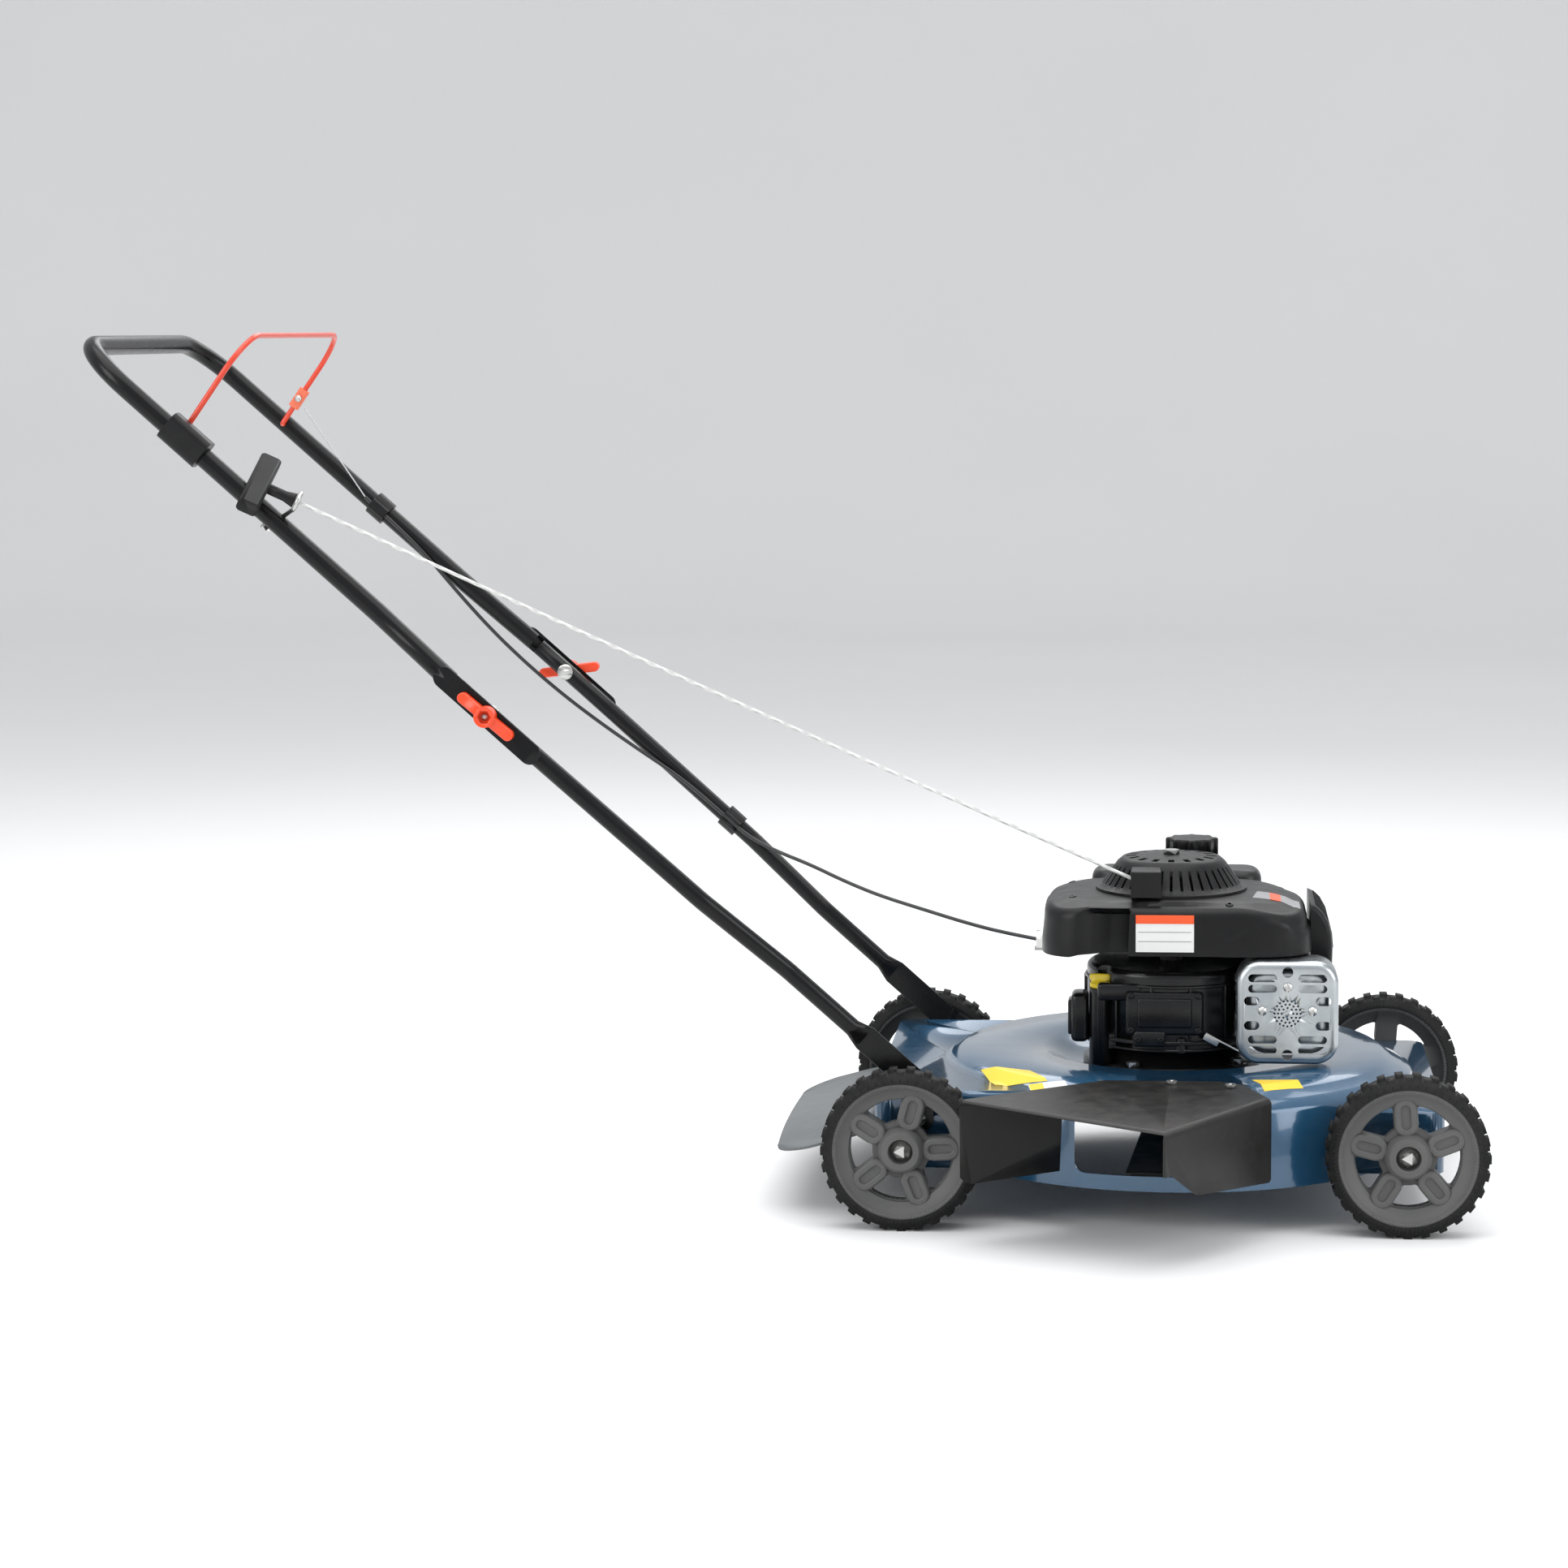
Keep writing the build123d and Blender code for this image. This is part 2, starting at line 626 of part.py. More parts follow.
dome_lip = dome_radius + 4.0
dome_profile = [
    (0, dome_top), (30, dome_top - 0.6), (dome_top_radius - 6, dome_shoulder_z + 5),
    (dome_top_radius, dome_shoulder_z), (dome_radius, housing_top + 3), (dome_lip, housing_top + 3),
    (dome_lip, housing_top), (dome_radius - 3, housing_top), (dome_top_radius - 3, dome_shoulder_z - 2),
    (dome_top_radius - 8, dome_shoulder_z + 2), (0, dome_top - 3),
]
nozzle_x = (-45.5, -11.0)
nozzle_y = (-98.0, -58.0)
nozzle_z = (housing_top + 3, 378.0)
with BuildPart() as starter_cover:
    with BuildSketch(pan_plane):
        Polygon(*dome_profile, align=None)
    revolve(axis=blade_axis)
    with BuildSketch(level(housing_top + 4)):
        with PolarLocations(72, 40):
            Rectangle(15, 3.2)
    extrude(amount=40, mode=Mode.SUBTRACT)
    with BuildSketch(level(housing_top + 20)):
        with PolarLocations(46, 16):
            Rectangle(12, 7)
    extrude(amount=40, mode=Mode.SUBTRACT)
    with BuildSketch(level(housing_top)):
        Circle(5.2)
    extrude(amount=60, mode=Mode.SUBTRACT)
starter_cover.part.label = "starter_cover"
export_step(starter_cover.part, "parts/starter_cover.step")

with BuildPart() as starter_bolt:
    with BuildSketch(level(crank_top + 3)):
        Circle(5)
    extrude(amount=dome_top - crank_top - 3)
    with BuildSketch(level(dome_top)):
        RegularPolygon(8, 6, major_radius=False)
    extrude(amount=5)
starter_bolt.part.label = "starter_bolt"
export_step(starter_bolt.part, "parts/starter_bolt.step")

with BuildPart() as recoil_pulley:
    with BuildSketch(level(pulley_z[0])):
        Circle(40)
    extrude(amount=pulley_z[1] - pulley_z[0])
    with BuildSketch(pan_plane):
        with Locations((40, sum(pulley_z) / 2)):
            Circle(4)
    revolve(axis=blade_axis, mode=Mode.SUBTRACT)
    with BuildSketch(level(pulley_z[0])):
        Circle(5 + running_gap)
    extrude(amount=20, mode=Mode.SUBTRACT)
recoil_pulley.part.label = "recoil_pulley"
export_step(recoil_pulley.part, "parts/recoil_pulley.step")

fuel_x, fuel_y = 24.0, 118.0
tank_top = 352.0
neck_radius = 22.0
neck_top = 368.0
with BuildPart() as fuel_tank:
    with BuildSketch(level(259, 6, 126.3)):
        RectangleRounded(200, 68, 24)
    extrude(amount=tank_top - 259)
    fillet(fuel_tank.edges().group_by(Axis.Z)[-1], 14)
    fillet(fuel_tank.edges().group_by(Axis.Z)[0], 8)
    with BuildSketch(level(tank_top - 20, fuel_x, fuel_y)):
        Circle(neck_radius)
    extrude(amount=neck_top - tank_top + 20)
    with BuildSketch(level(tank_top - 18, fuel_x, fuel_y)):
        Circle(neck_radius - 3)
    extrude(amount=60, mode=Mode.SUBTRACT)
fuel_tank.part.label = "fuel_tank"
export_step(fuel_tank.part, "parts/fuel_tank.step")

with BuildPart() as fuel_cap:
    with BuildSketch(level(neck_top + body_gap, fuel_x, fuel_y)):
        Circle(27)
        with PolarLocations(26, 8):
            Circle(5)
    extrude(amount=20)
    fillet(fuel_cap.edges().group_by(Axis.Z)[-1], 3)
    with BuildSketch(level(neck_top + body_gap, fuel_x, fuel_y)):
        Circle(neck_radius - 4)
    extrude(amount=-8)
fuel_cap.part.label = "fuel_cap"
export_step(fuel_cap.part, "parts/fuel_cap.step")

with BuildPart() as air_filter_cover:
    with BuildSketch(facing_front(housing_x[1], 21, 299)):
        RectangleRounded(138, 74, 20)
    extrude(amount=26)
    fillet(air_filter_cover.faces().sort_by(Axis.X)[-1].edges(), 12)
    with BuildSketch(facing_front(housing_x[1], 21, 299)):
        RectangleRounded(132, 68, 17)
    extrude(amount=12, mode=Mode.SUBTRACT)
air_filter_cover.part.label = "air_filter_cover"
export_step(air_filter_cover.part, "parts/air_filter_cover.step")

with BuildPart() as carburettor:
    with BuildSketch(side(96, carb_y, 222, 1)):
        RectangleRounded(44, 34, 6)
    extrude(amount=28)
    with BuildSketch(side(107, cylinder_half, 222, 1)):
        Circle(9)
    extrude(amount=carb_y - cylinder_half)
    with BuildSketch(level(182, 98, carb_y + 16)):
        Circle(15)
    extrude(amount=28)
    with BuildSketch(facing_front(96, carb_y + 14, 226)):
        Circle(11)
    extrude(amount=60)
    with BuildSketch(level(226, 157, carb_y + 14)):
        Rectangle(22, 24)
    extrude(amount=36)
carburettor.part.label = "carburettor"
export_step(carburettor.part, "parts/carburettor.step")

guard_x, guard_z = 130.5, 222.4
guard_size = (114.0, 117.5)
guard_face = -130.0
guard_depth = 52.0
guard_sheet = 1.5
muffler_face = guard_face + 8.0
muffler_back = -62.0
guard_screw_places = [(0, 30), (-28, 3), (28, 3)]
guard_plane = side(guard_x, guard_face, guard_z)
with BuildPart() as muffler:
    with BuildSketch(side(guard_x + 1, muffler_face, guard_z)):
        RectangleRounded(92, 96, 22)
    extrude(amount=muffler_face - muffler_back)
    fillet(muffler.faces().sort_by(Axis.Y)[0].edges(), 8)
    with BuildSketch(guard_plane.offset(-guard_sheet)):
        with Locations(*guard_screw_places):
            Circle(5)
    extrude(amount=guard_face + guard_sheet - muffler_face - 2)
    with BuildSketch(side(100, muffler_back, 219)):
        Circle(13)
    extrude(amount=muffler_back + cylinder_half)
    with BuildSketch(guard_plane.offset(0)):
        with Locations(*guard_screw_places):
            Circle(2.5)
    extrude(amount=-12, mode=Mode.SUBTRACT)
muffler.part.label = "muffler"
export_step(muffler.part, "parts/muffler.step")

with BuildPart() as muffler_guard:
    with BuildSketch(guard_plane):
        RectangleRounded(*guard_size, 26)
    extrude(amount=-guard_depth)
    fillet(muffler_guard.faces().sort_by(Axis.Y)[0].edges(), 9)
    offset(amount=-guard_sheet, openings=muffler_guard.faces().sort_by(Axis.Y)[-1])
    with BuildSketch(guard_plane.offset(2)) as guard_slots:
        with Locations((-28, 40), (28, 40), (-28, 28), (28, 28), (-28, -30), (28, -30), (-28, -42), (28, -42)):
            SlotOverall(32, 9)
        with Locations((-40, 14), (40, 14), (-40, -14), (40, -14)):
            SlotOverall(17, 10)
        with Locations((0, 47), (0, -47)):
            Circle(6)
        for ring_radius, ring_count in ((14.5, 20), (10.5, 14), (6.5, 8)):
            with PolarLocations(ring_radius, ring_count):
                Circle(1.2)
        with Locations(*guard_screw_places):
            Circle(2.6)
    extrude(amount=-8, mode=Mode.SUBTRACT)
    with BuildSketch(facing_front(guard_x, guard_face + 32, guard_z)):
        with GridLocations(1, 20, 1, 4):
            SlotOverall(26, 9)
    extrude(amount=guard_size[0], both=True, mode=Mode.SUBTRACT)
muffler_guard.part.label = "muffler_guard"
export_step(muffler_guard.part, "parts/muffler_guard.step")

with BuildPart() as guard_screws:
    with BuildSketch(guard_plane):
        with Locations(*guard_screw_places):
            Circle(5)
    extrude(amount=3)
    with BuildSketch(guard_plane):
        with Locations(*guard_screw_places):
            Circle(2.4)
    extrude(amount=-11)
guard_screws.part.label = "guard_screws"
export_step(guard_screws.part, "parts/guard_screws.step")

# ---------------------------------------------------------------- parts that turn with the crankshaft
with BuildPart() as crankshaft:
    with BuildSketch(level(blade_z + 4)):
        Circle(crank_radius)
    extrude(amount=crank_top - blade_z - 4)
    with BuildSketch(level(blade_z - 20)):
        Circle(5 + fixed_gap)
    extrude(amount=55, mode=Mode.SUBTRACT)
crankshaft.part.label = "crankshaft"
export_step(crankshaft.part, "parts/crankshaft.step")

with BuildPart() as flywheel:
    with BuildSketch(level(294)):
        Circle(72)
    extrude(amount=14)
    with BuildSketch(level(308)):
        Circle(26)
    extrude(amount=12)
    with BuildSketch(level(308)):
        with PolarLocations(52, 18):
            Rectangle(34, 2.5, rotation=20)
    extrude(amount=22)
    with BuildSketch(level(290)):
        Circle(crank_radius + fixed_gap)
    extrude(amount=60, mode=Mode.SUBTRACT)
flywheel.part.label = "flywheel"
export_step(flywheel.part, "parts/flywheel.step")

with BuildPart() as blade_adapter:
    with BuildSketch(level(blade_z + 4)):
        Circle(26)
    extrude(amount=8)
    with BuildSketch(level(blade_z + 12)):
        Circle(19)
    extrude(amount=24)
    with BuildSketch(level(blade_z)):
        Circle(crank_radius + fixed_gap)
    extrude(amount=60, mode=Mode.SUBTRACT)
blade_adapter.part.label = "blade_adapter"
export_step(blade_adapter.part, "parts/blade_adapter.step")

blade_turn = -94.0             # where the blade points at rest, in degrees from +X
blade_lift = 22.0
blade_plane = Plane(
    origin=at(0, 0, blade_z),
    x_dir=(math.cos(math.radians(blade_turn)), math.sin(math.radians(blade_turn)), 0),
    z_dir=(0, 0, 1),
)
with BuildPart() as blade:
    with BuildSketch(blade_plane):
        Rectangle(blade_length, blade_width)
    extrude(amount=4)
    fillet(blade.edges().filter_by(Axis.Z), 6)
    for end in (-1, 1):
        with BuildSketch(blade_plane) as lift_wing:
            with Locations((end * (blade_length / 2 - 42), end * (blade_width / 2 - 3))):
                Rectangle(70, 4)
        extrude(amount=blade_lift)
    with BuildSketch(blade_plane.offset(-5)):
        Circle(5 + fixed_gap)
    extrude(amount=20, mode=Mode.SUBTRACT)
blade.part.label = "blade"
export_step(blade.part, "parts/blade.step")

with BuildPart() as blade_bolt:
    with BuildSketch(level(blade_z - 3)):
        Circle(17)
    extrude(amount=3)
    with BuildSketch(level(blade_z - 10)):
        RegularPolygon(8, 6, major_radius=False)
    extrude(amount=8)
    with BuildSketch(level(blade_z - 3)):
        Circle(5)
    extrude(amount=33)
blade_bolt.part.label = "blade_bolt"
export_step(blade_bolt.part, "parts/blade_bolt.step")

# ---------------------------------------------------------------- handle
plate_start = on_handle(-343.0, 0)
lower_side = [(-352.0, 219.5), (-423.5, 221.0), (-513.5, 252.0), (-693.5, 263.5)]
stub_above_fold = 46.0
channel_half = 75.0
channel_width = 24.0
upper_side = [(-870.0, 252.0), (-1108.0, handle_half_width)]
upper_start_x = fold_x - 56 * down_handle.X
upper_start_y = 267.0
head_radius = 9.5
plate_length = 92.0
plate_thickness = 4.0
plate_inner = platform_half_width + body_gap


def make_lower_handle(name, facing):
    """One side of the lower handle: a bent tube whose lower end is flattened against the deck's wall."""
    end_x = fold_x - stub_above_fold * down_handle.X
    points = [on_handle(x, facing * y) for x, y in lower_side] + [on_handle(end_x, facing * fold_half_width)]
    plate = Plane(
        origin=at(lower_side[0][0] + 14, facing * (plate_inner + plate_thickness / 2), handle_z(lower_side[0][0] + 14)),
        x_dir=(0, 1, 0), z_dir=down_handle,
    )
    with BuildPart() as lower_handle:
        with BuildLine():
            FilletPolyline(*points, radius=60)
        with BuildSketch(across(points[0], points[1])):
            Circle(lower_tube_radius)
        sweep()
        with BuildSketch(Plane(origin=points[0], x_dir=(0, 1, 0), z_dir=points[0] - points[1])):
            Circle(lower_tube_radius)
        with BuildSketch(plate):
            RectangleRounded(plate_thickness, 30, 1.5)
        loft()
        with BuildSketch(plate):
            RectangleRounded(plate_thickness, 30, 1.5)
        extrude(amount=plate_length)
        with BuildSketch(side(-279, facing * plate_inner, 133, facing)):
            RectangleRounded(34, 60, 12)
        extrude(amount=plate_thickness)
        with BuildSketch(side(fold_x, 0, handle_z(fold_x))):
            Circle(bolt_radius + fixed_gap)
        extrude(amount=400, both=True, mode=Mode.SUBTRACT)
        with BuildSketch(pan_plane):
            with Locations(*handle_bolt_places):
                Circle(bolt_radius + fixed_gap)
        extrude(amount=400, both=True, mode=Mode.SUBTRACT)
    lower_handle.part.label = name
    export_step(lower_handle.part, f"parts/{name}.step")
    return lower_handle.part


make_lower_handle("lower_handle_right", -1)
make_lower_handle("lower_handle_left", 1)

with BuildPart() as handle_bolts:
    for facing in (-1, 1):
        for x, z in handle_bolt_places:
            wall = side(x, facing * platform_half_width, z, facing)
            with BuildSketch(wall.offset(-sheet - 8)):
                Circle(bolt_radius)
            extrude(amount=sheet + 8 + body_gap + plate_thickness)
            with BuildSketch(wall.offset(-sheet)):
                RegularPolygon(6.5, 6, major_radius=False)
            extrude(amount=-6)
            with BuildSketch(wall.offset(body_gap + plate_thickness)):
                Circle(8)
            extrude(amount=3)
handle_bolts.part.label = "handle_bolts"
export_step(handle_bolts.part, "parts/handle_bolts.step")

with BuildPart() as fold_bolts:
    for facing in (-1, 1):
        pivot = side(fold_x, facing * (fold_half_width - lower_tube_radius - 1.2), handle_z(fold_x), facing)
        with BuildSketch(pivot):
            Circle(head_radius)
        extrude(amount=-3)
        with BuildSketch(pivot):
            Circle(bolt_radius)
        extrude(amount=knob_reach - 5 - fold_half_width + lower_tube_radius + 1.2)
fold_bolts.part.label = "fold_bolts"
export_step(fold_bolts.part, "parts/fold_bolts.step")

tube_route = []
for facing in (-1, 1):
    half_route = [on_handle(upper_start_x, facing * upper_start_y)]
    half_route += [on_handle(x, facing * y) for x, y in upper_side]
    half_route += [at(grip_x, facing * handle_half_width, grip_z)]
    tube_route += half_route if facing < 0 else half_route[::-1]

bail_x = -1091.5
bail_radius = 3.2
bail_half_width = 234.0
bail_top = (77.0, 108.0)       # from the pivot to the bail's bar
guide_x = -984.5
guide_loop = at(-956.5, -262.0, 807.0)
rope_start = at(-46.4, -84.0, 369.0)
rope_line = (guide_loop - rope_start).normalized()
loop_radius = 10.0
guide_wire = 2.6
guide_base = on_handle(guide_x, -handle_half_width)
towards_tube = guide_base - guide_loop
towards_tube = (towards_tube - rope_line * towards_tube.dot(rope_line)).normalized()
guide_top = guide_loop + towards_tube * loop_radius
guide_stem = (guide_top - guide_base).normalized()

with BuildPart() as upper_handle:
    with BuildLine():
        FilletPolyline(*tube_route, radius=[120, 120, grip_bend, grip_bend, 120, 120])
    with BuildSketch(across(tube_route[0], tube_route[1])):
        Circle(upper_tube_radius)
    sweep()
    with BuildLine():
        FilletPolyline(*tube_route, radius=[120, 120, grip_bend, grip_bend, 120, 120])
    with BuildSketch(across(tube_route[0], tube_route[1])):
        Circle(upper_tube_radius - tube_wall)
    sweep(mode=Mode.SUBTRACT)
    for facing in (-1, 1):
        web = Plane(
            origin=on_handle(fold_x, facing * web_inner), x_dir=down_handle, z_dir=(0, facing, 0),
        )
        with BuildSketch(web):
            SlotOverall(2 * channel_half, channel_width)
        extrude(amount=web_outer - web_inner)
        with BuildSketch(web):
            Circle(bolt_radius + running_gap)
        extrude(amount=40, mode=Mode.SUBTRACT)
        with BuildSketch(side(bail_x, facing * (handle_half_width - upper_tube_radius - 4), handle_z(bail_x), facing)):
            Circle(bail_radius + running_gap)
        extrude(amount=upper_tube_radius, mode=Mode.SUBTRACT)
    with BuildSketch(across(guide_base - guide_stem * 20, guide_top)):
        Circle(guide_wire + fixed_gap)
    extrude(amount=40, mode=Mode.SUBTRACT)
upper_handle.part.label = "upper_handle"
export_step(upper_handle.part, "parts/upper_handle.step")

with BuildPart() as rope_guide:
    with BuildSketch(across(guide_base - guide_stem * 17, guide_top)):
        Circle(guide_wire)
    extrude(amount=17 + (guide_top - guide_base).length)
    with BuildSketch(Plane(origin=guide_loop, x_dir=towards_tube, z_dir=towards_tube.cross(rope_line))):
        with Locations((loop_radius, 0)):
            Circle(guide_wire)
    revolve(axis=Axis(guide_loop, rope_line))
rope_guide.part.label = "rope_guide"
export_step(rope_guide.part, "parts/rope_guide.step")

with BuildPart() as guide_nut:
    with BuildSketch(across(guide_base - guide_stem * (upper_tube_radius + 3), guide_base - guide_stem * 30)):
        RegularPolygon(5, 6, major_radius=False)
        Circle(guide_wire + fixed_gap, mode=Mode.SUBTRACT)
    extrude(amount=4)
guide_nut.part.label = "guide_nut"
export_step(guide_nut.part, "parts/guide_nut.step")

cover_middle = on_handle(bail_x + 8, -handle_half_width) + off_handle * 2
cover_plane = Plane(origin=cover_middle - down_handle * 26, x_dir=(0, 1, 0), z_dir=down_handle)
with BuildPart() as bail_cover:
    with BuildSketch(cover_plane):
        with Locations((-3.5, 0)):
            RectangleRounded(29, 34, 9)
    extrude(amount=52)
    with BuildSketch(Plane(origin=cover_plane.origin - off_handle * 2 - down_handle * 5, x_dir=(0, 1, 0), z_dir=down_handle)):
        Circle(upper_tube_radius + 0.5)
    extrude(amount=70, mode=Mode.SUBTRACT)
    with BuildSketch(Plane(origin=at(0, -bail_half_width - bail_radius - 0.8, 0), x_dir=(1, 0, 0), z_dir=(0, 1, 0))):
        with Locations((bail_x, -900)):
            Rectangle(200, 300)
    extrude(amount=40, mode=Mode.SUBTRACT)
bail_cover.part.label = "bail_cover"
export_step(bail_cover.part, "parts/bail_cover.step")

bail_base = on_handle(bail_x, 0)
bail_bar = bail_base + Vector(bail_top[0], 0, bail_top[1])
bail_leg = (bail_bar - bail_base).normalized()
pin_reach = 12.0
bail_route = [
    bail_base + Vector(0, -bail_half_width - pin_reach, 0), bail_base + Vector(0, -bail_half_width, 0),
    bail_bar + Vector(0, -bail_half_width, 0), bail_bar + Vector(0, bail_half_width, 0),
    bail_base + Vector(0, bail_half_width, 0), bail_base + Vector(0, bail_half_width + pin_reach, 0),
]
with BuildPart() as bail_wire:
    with BuildLine():
        FilletPolyline(*bail_route, radius=[3.4, 50, 50, 3.4])
    with BuildSketch(across(bail_route[0], bail_route[1])):
        Circle(bail_radius)
    sweep()
bail_wire.part.label = "bail_wire"
export_step(bail_wire.part, "parts/bail_wire.step")

clamp_middle = bail_base + Vector(0, bail_half_width, 0) + bail_leg * 38
clamp_normal = Vector(-bail_leg.Z, 0, bail_leg.X)
with BuildPart() as bail_clamp:
    with BuildSketch(Plane(origin=clamp_middle - bail_leg * 13, x_dir=(0, 1, 0), z_dir=bail_leg)):
        RectangleRounded(9, 13, 3)
        Circle(bail_radius + 0.05, mode=Mode.SUBTRACT)
    extrude(amount=26)
bail_clamp.part.label = "bail_clamp"
export_step(bail_clamp.part, "parts/bail_clamp.step")

clamp_screw_middle = clamp_middle - Vector(0, 4.5, 0)
with BuildPart() as clamp_screw:
    with BuildSketch(Plane(origin=clamp_screw_middle, z_dir=(0, -1, 0))):
        Circle(4)
    extrude(amount=3)
clamp_screw.part.label = "clamp_screw"
export_step(clamp_screw.part, "parts/clamp_screw.step")

for hand, facing, turn in (("right", -1, -40.0), ("left", 1, 7.0)):
    seat = side(fold_x, facing * knob_inner, handle_z(fold_x), facing)
    with BuildPart() as knob:
        with BuildSketch(seat):
            Circle(11.5)
            SlotOverall(knob_length, 12, rotation=turn if facing < 0 else -turn)
        extrude(amount=knob_depth - 5)
        fillet(knob.edges().filter_by(lambda e: e.length > 20), 1.5)
        with BuildSketch(seat):
            Circle(11.5)
        extrude(amount=knob_depth)
        with BuildSketch(seat):
            Circle(bolt_radius + running_gap)
        extrude(amount=knob_depth, mode=Mode.SUBTRACT)
        with BuildSketch(seat.offset(knob_depth)):
            RegularPolygon(7, 6, major_radius=False)
        extrude(amount=-6, mode=Mode.SUBTRACT)
    knob.part.label = f"knob_{hand}"
    export_step(knob.part, f"parts/knob_{hand}.step")

# ---------------------------------------------------------------- starter rope, its grip and the nozzle
rope_radius = 2.0
stem_start = guide_loop + rope_line * (guide_wire + 0.6)
bar_middle = guide_loop + rope_line * 46
bar_way = Vector(-0.06, -0.875, -0.482)
bar_way = (bar_way - rope_line * bar_way.dot(rope_line)).normalized()
with BuildPart() as rope_nozzle:
    with BuildSketch(level(nozzle_z[0], sum(nozzle_x) / 2, sum(nozzle_y) / 2)):
        Rectangle(nozzle_x[1] - nozzle_x[0], nozzle_y[1] - nozzle_y[0])
    extrude(amount=nozzle_z[1] - nozzle_z[0])
    fillet(rope_nozzle.edges().group_by(Axis.Z)[-1], 3)
    with BuildSketch(pan_plane):
        Polygon(
            (0, housing_top), (dome_lip + 0.4, housing_top), (dome_lip + 0.4, housing_top + 3.2),
            (dome_radius + 0.4, housing_top + 3.2), (dome_top_radius + 0.5, dome_shoulder_z), (dome_top_radius + 0.5, dome_top),
            (0, dome_top),
            align=None,
        )
    revolve(axis=blade_axis, mode=Mode.SUBTRACT)
    with BuildSketch(across(rope_start - rope_line * 30, guide_loop)):
        Circle(rope_radius + 0.8)
    extrude(amount=40, mode=Mode.SUBTRACT)
rope_nozzle.part.label = "rope_nozzle"
export_step(rope_nozzle.part, "parts/rope_nozzle.step")

with BuildPart() as starter_grip:
    with BuildSketch(across(stem_start, bar_middle)):
        Circle(8.5)
    extrude(amount=12, taper=12)
    with BuildSketch(across(stem_start, bar_middle)):
        Circle(6)
    extrude(amount=(bar_middle - stem_start).length)
    with BuildSketch(Plane(origin=bar_middle - bar_way * 48, x_dir=rope_line, z_dir=bar_way)):
        RectangleRounded(24, 17, 5)
    extrude(amount=96)
starter_grip.part.label = "starter_grip"
export_step(starter_grip.part, "parts/starter_grip.step")

rope_end = guide_loop + rope_line * (guide_wire + 0.3)
rope_sag = Vector(0, 0, -5)
rope_points = [rope_start - rope_line * 8, (rope_start + rope_end) * 0.5 + rope_sag, rope_end]


def make_cord(name, points, radius):
    """A round cord along straight runs joined by tangent arcs."""
    radii = smooth_radii(points)
    with BuildPart() as cord:
        with BuildLine() as route:
            if radii:
                FilletPolyline(*points, radius=radii)
            else:
                Line(*points)
        with BuildSketch(across(points[0], points[1])):
            Circle(radius)
        sweep()
    length = sum(edge.length for edge in route.edges())
    fill = cord.part.volume / (length * math.pi * radius ** 2)
    print(f"{name}: length {length:.1f}, volume over section times length {fill:.4f}, radii",
          [round(r) for r in radii])
    cord.part.label = name
    export_step(cord.part, f"parts/{name}.step")
    return cord.part


make_cord("starter_rope", rope_points, rope_radius)

# ---------------------------------------------------------------- brake cable and its clips
cable_radius = 2.25
wire_radius = 0.8
cable_points = [
    at(-990, 235.6, 790), at(-958, 235.6, 761), at(-915, 237.5, 718), at(-878, 242, 672), at(-838, 250, 625),
    at(-796, 255, 583), at(-750, 257, 543), at(-702, 256, 507), at(-652, 248, 474), at(-605, 242, 444),
    at(-562, 238.5, 408), at(-520, 235.9, 370.5), at(-484, 226, 354), at(-440, 205, 340.5), at(-398, 185, 324),
    at(-352, 163, 309), at(-298, 136, 297), at(-246, 110, 285.5), at(-200, 84, 278), at(-153, 61, 273.2),
]
make_cord("control_cable", cable_points, cable_radius)
wire_points = [clamp_middle + Vector(6, 1.6, -12), cable_points[0] + Vector(-0.3, 0, 0.9)]
make_cord("brake_wire", wire_points, wire_radius)


def make_clip(name, tube_point, tube_way, cable_point, cable_way, tube_radius):
    """A plastic clip round the handle's tube with an ear that holds the cable."""
    with BuildPart() as clip:
        with BuildSketch(Plane(origin=tube_point - tube_way * 12, x_dir=(0, 1, 0), z_dir=tube_way)):
            Circle(tube_radius + 4)
            with Locations((-tube_radius - 2, 0)):
                RectangleRounded(12, 14, 3)
        extrude(amount=24)
        with BuildSketch(Plane(origin=tube_point - tube_way * 40, x_dir=(0, 1, 0), z_dir=tube_way)):
            Circle(tube_radius + fixed_gap)
        extrude(amount=80, mode=Mode.SUBTRACT)
        with BuildSketch(Plane(origin=cable_point - cable_way * 40, z_dir=cable_way)):
            Circle(cable_radius + fixed_gap)
        extrude(amount=80, mode=Mode.SUBTRACT)
    clip.part.label = name
    export_step(clip.part, f"parts/{name}.step")
    return clip.part


upper_way = (on_handle(*upper_side[0]) - on_handle(*upper_side[1])).normalized()
upper_middle = on_handle(*upper_side[1]) + upper_way * ((upper_side[1][0] + 974) * -1 / upper_way.X)
make_clip(
    "upper_cable_clip", upper_middle, upper_way, (cable_points[0] + cable_points[1]) * 0.5,
    (cable_points[1] - cable_points[0]).normalized(), upper_tube_radius,
)
lower_way = (on_handle(*lower_side[2]) - on_handle(*lower_side[3])).normalized()
lower_middle = on_handle(*lower_side[3]) + lower_way * ((-541 - lower_side[3][0]) / lower_way.X)
make_clip(
    "lower_cable_clip", lower_middle, lower_way, (cable_points[10] + cable_points[11]) * 0.5,
    (cable_points[11] - cable_points[10]).normalized(), lower_tube_radius,
)

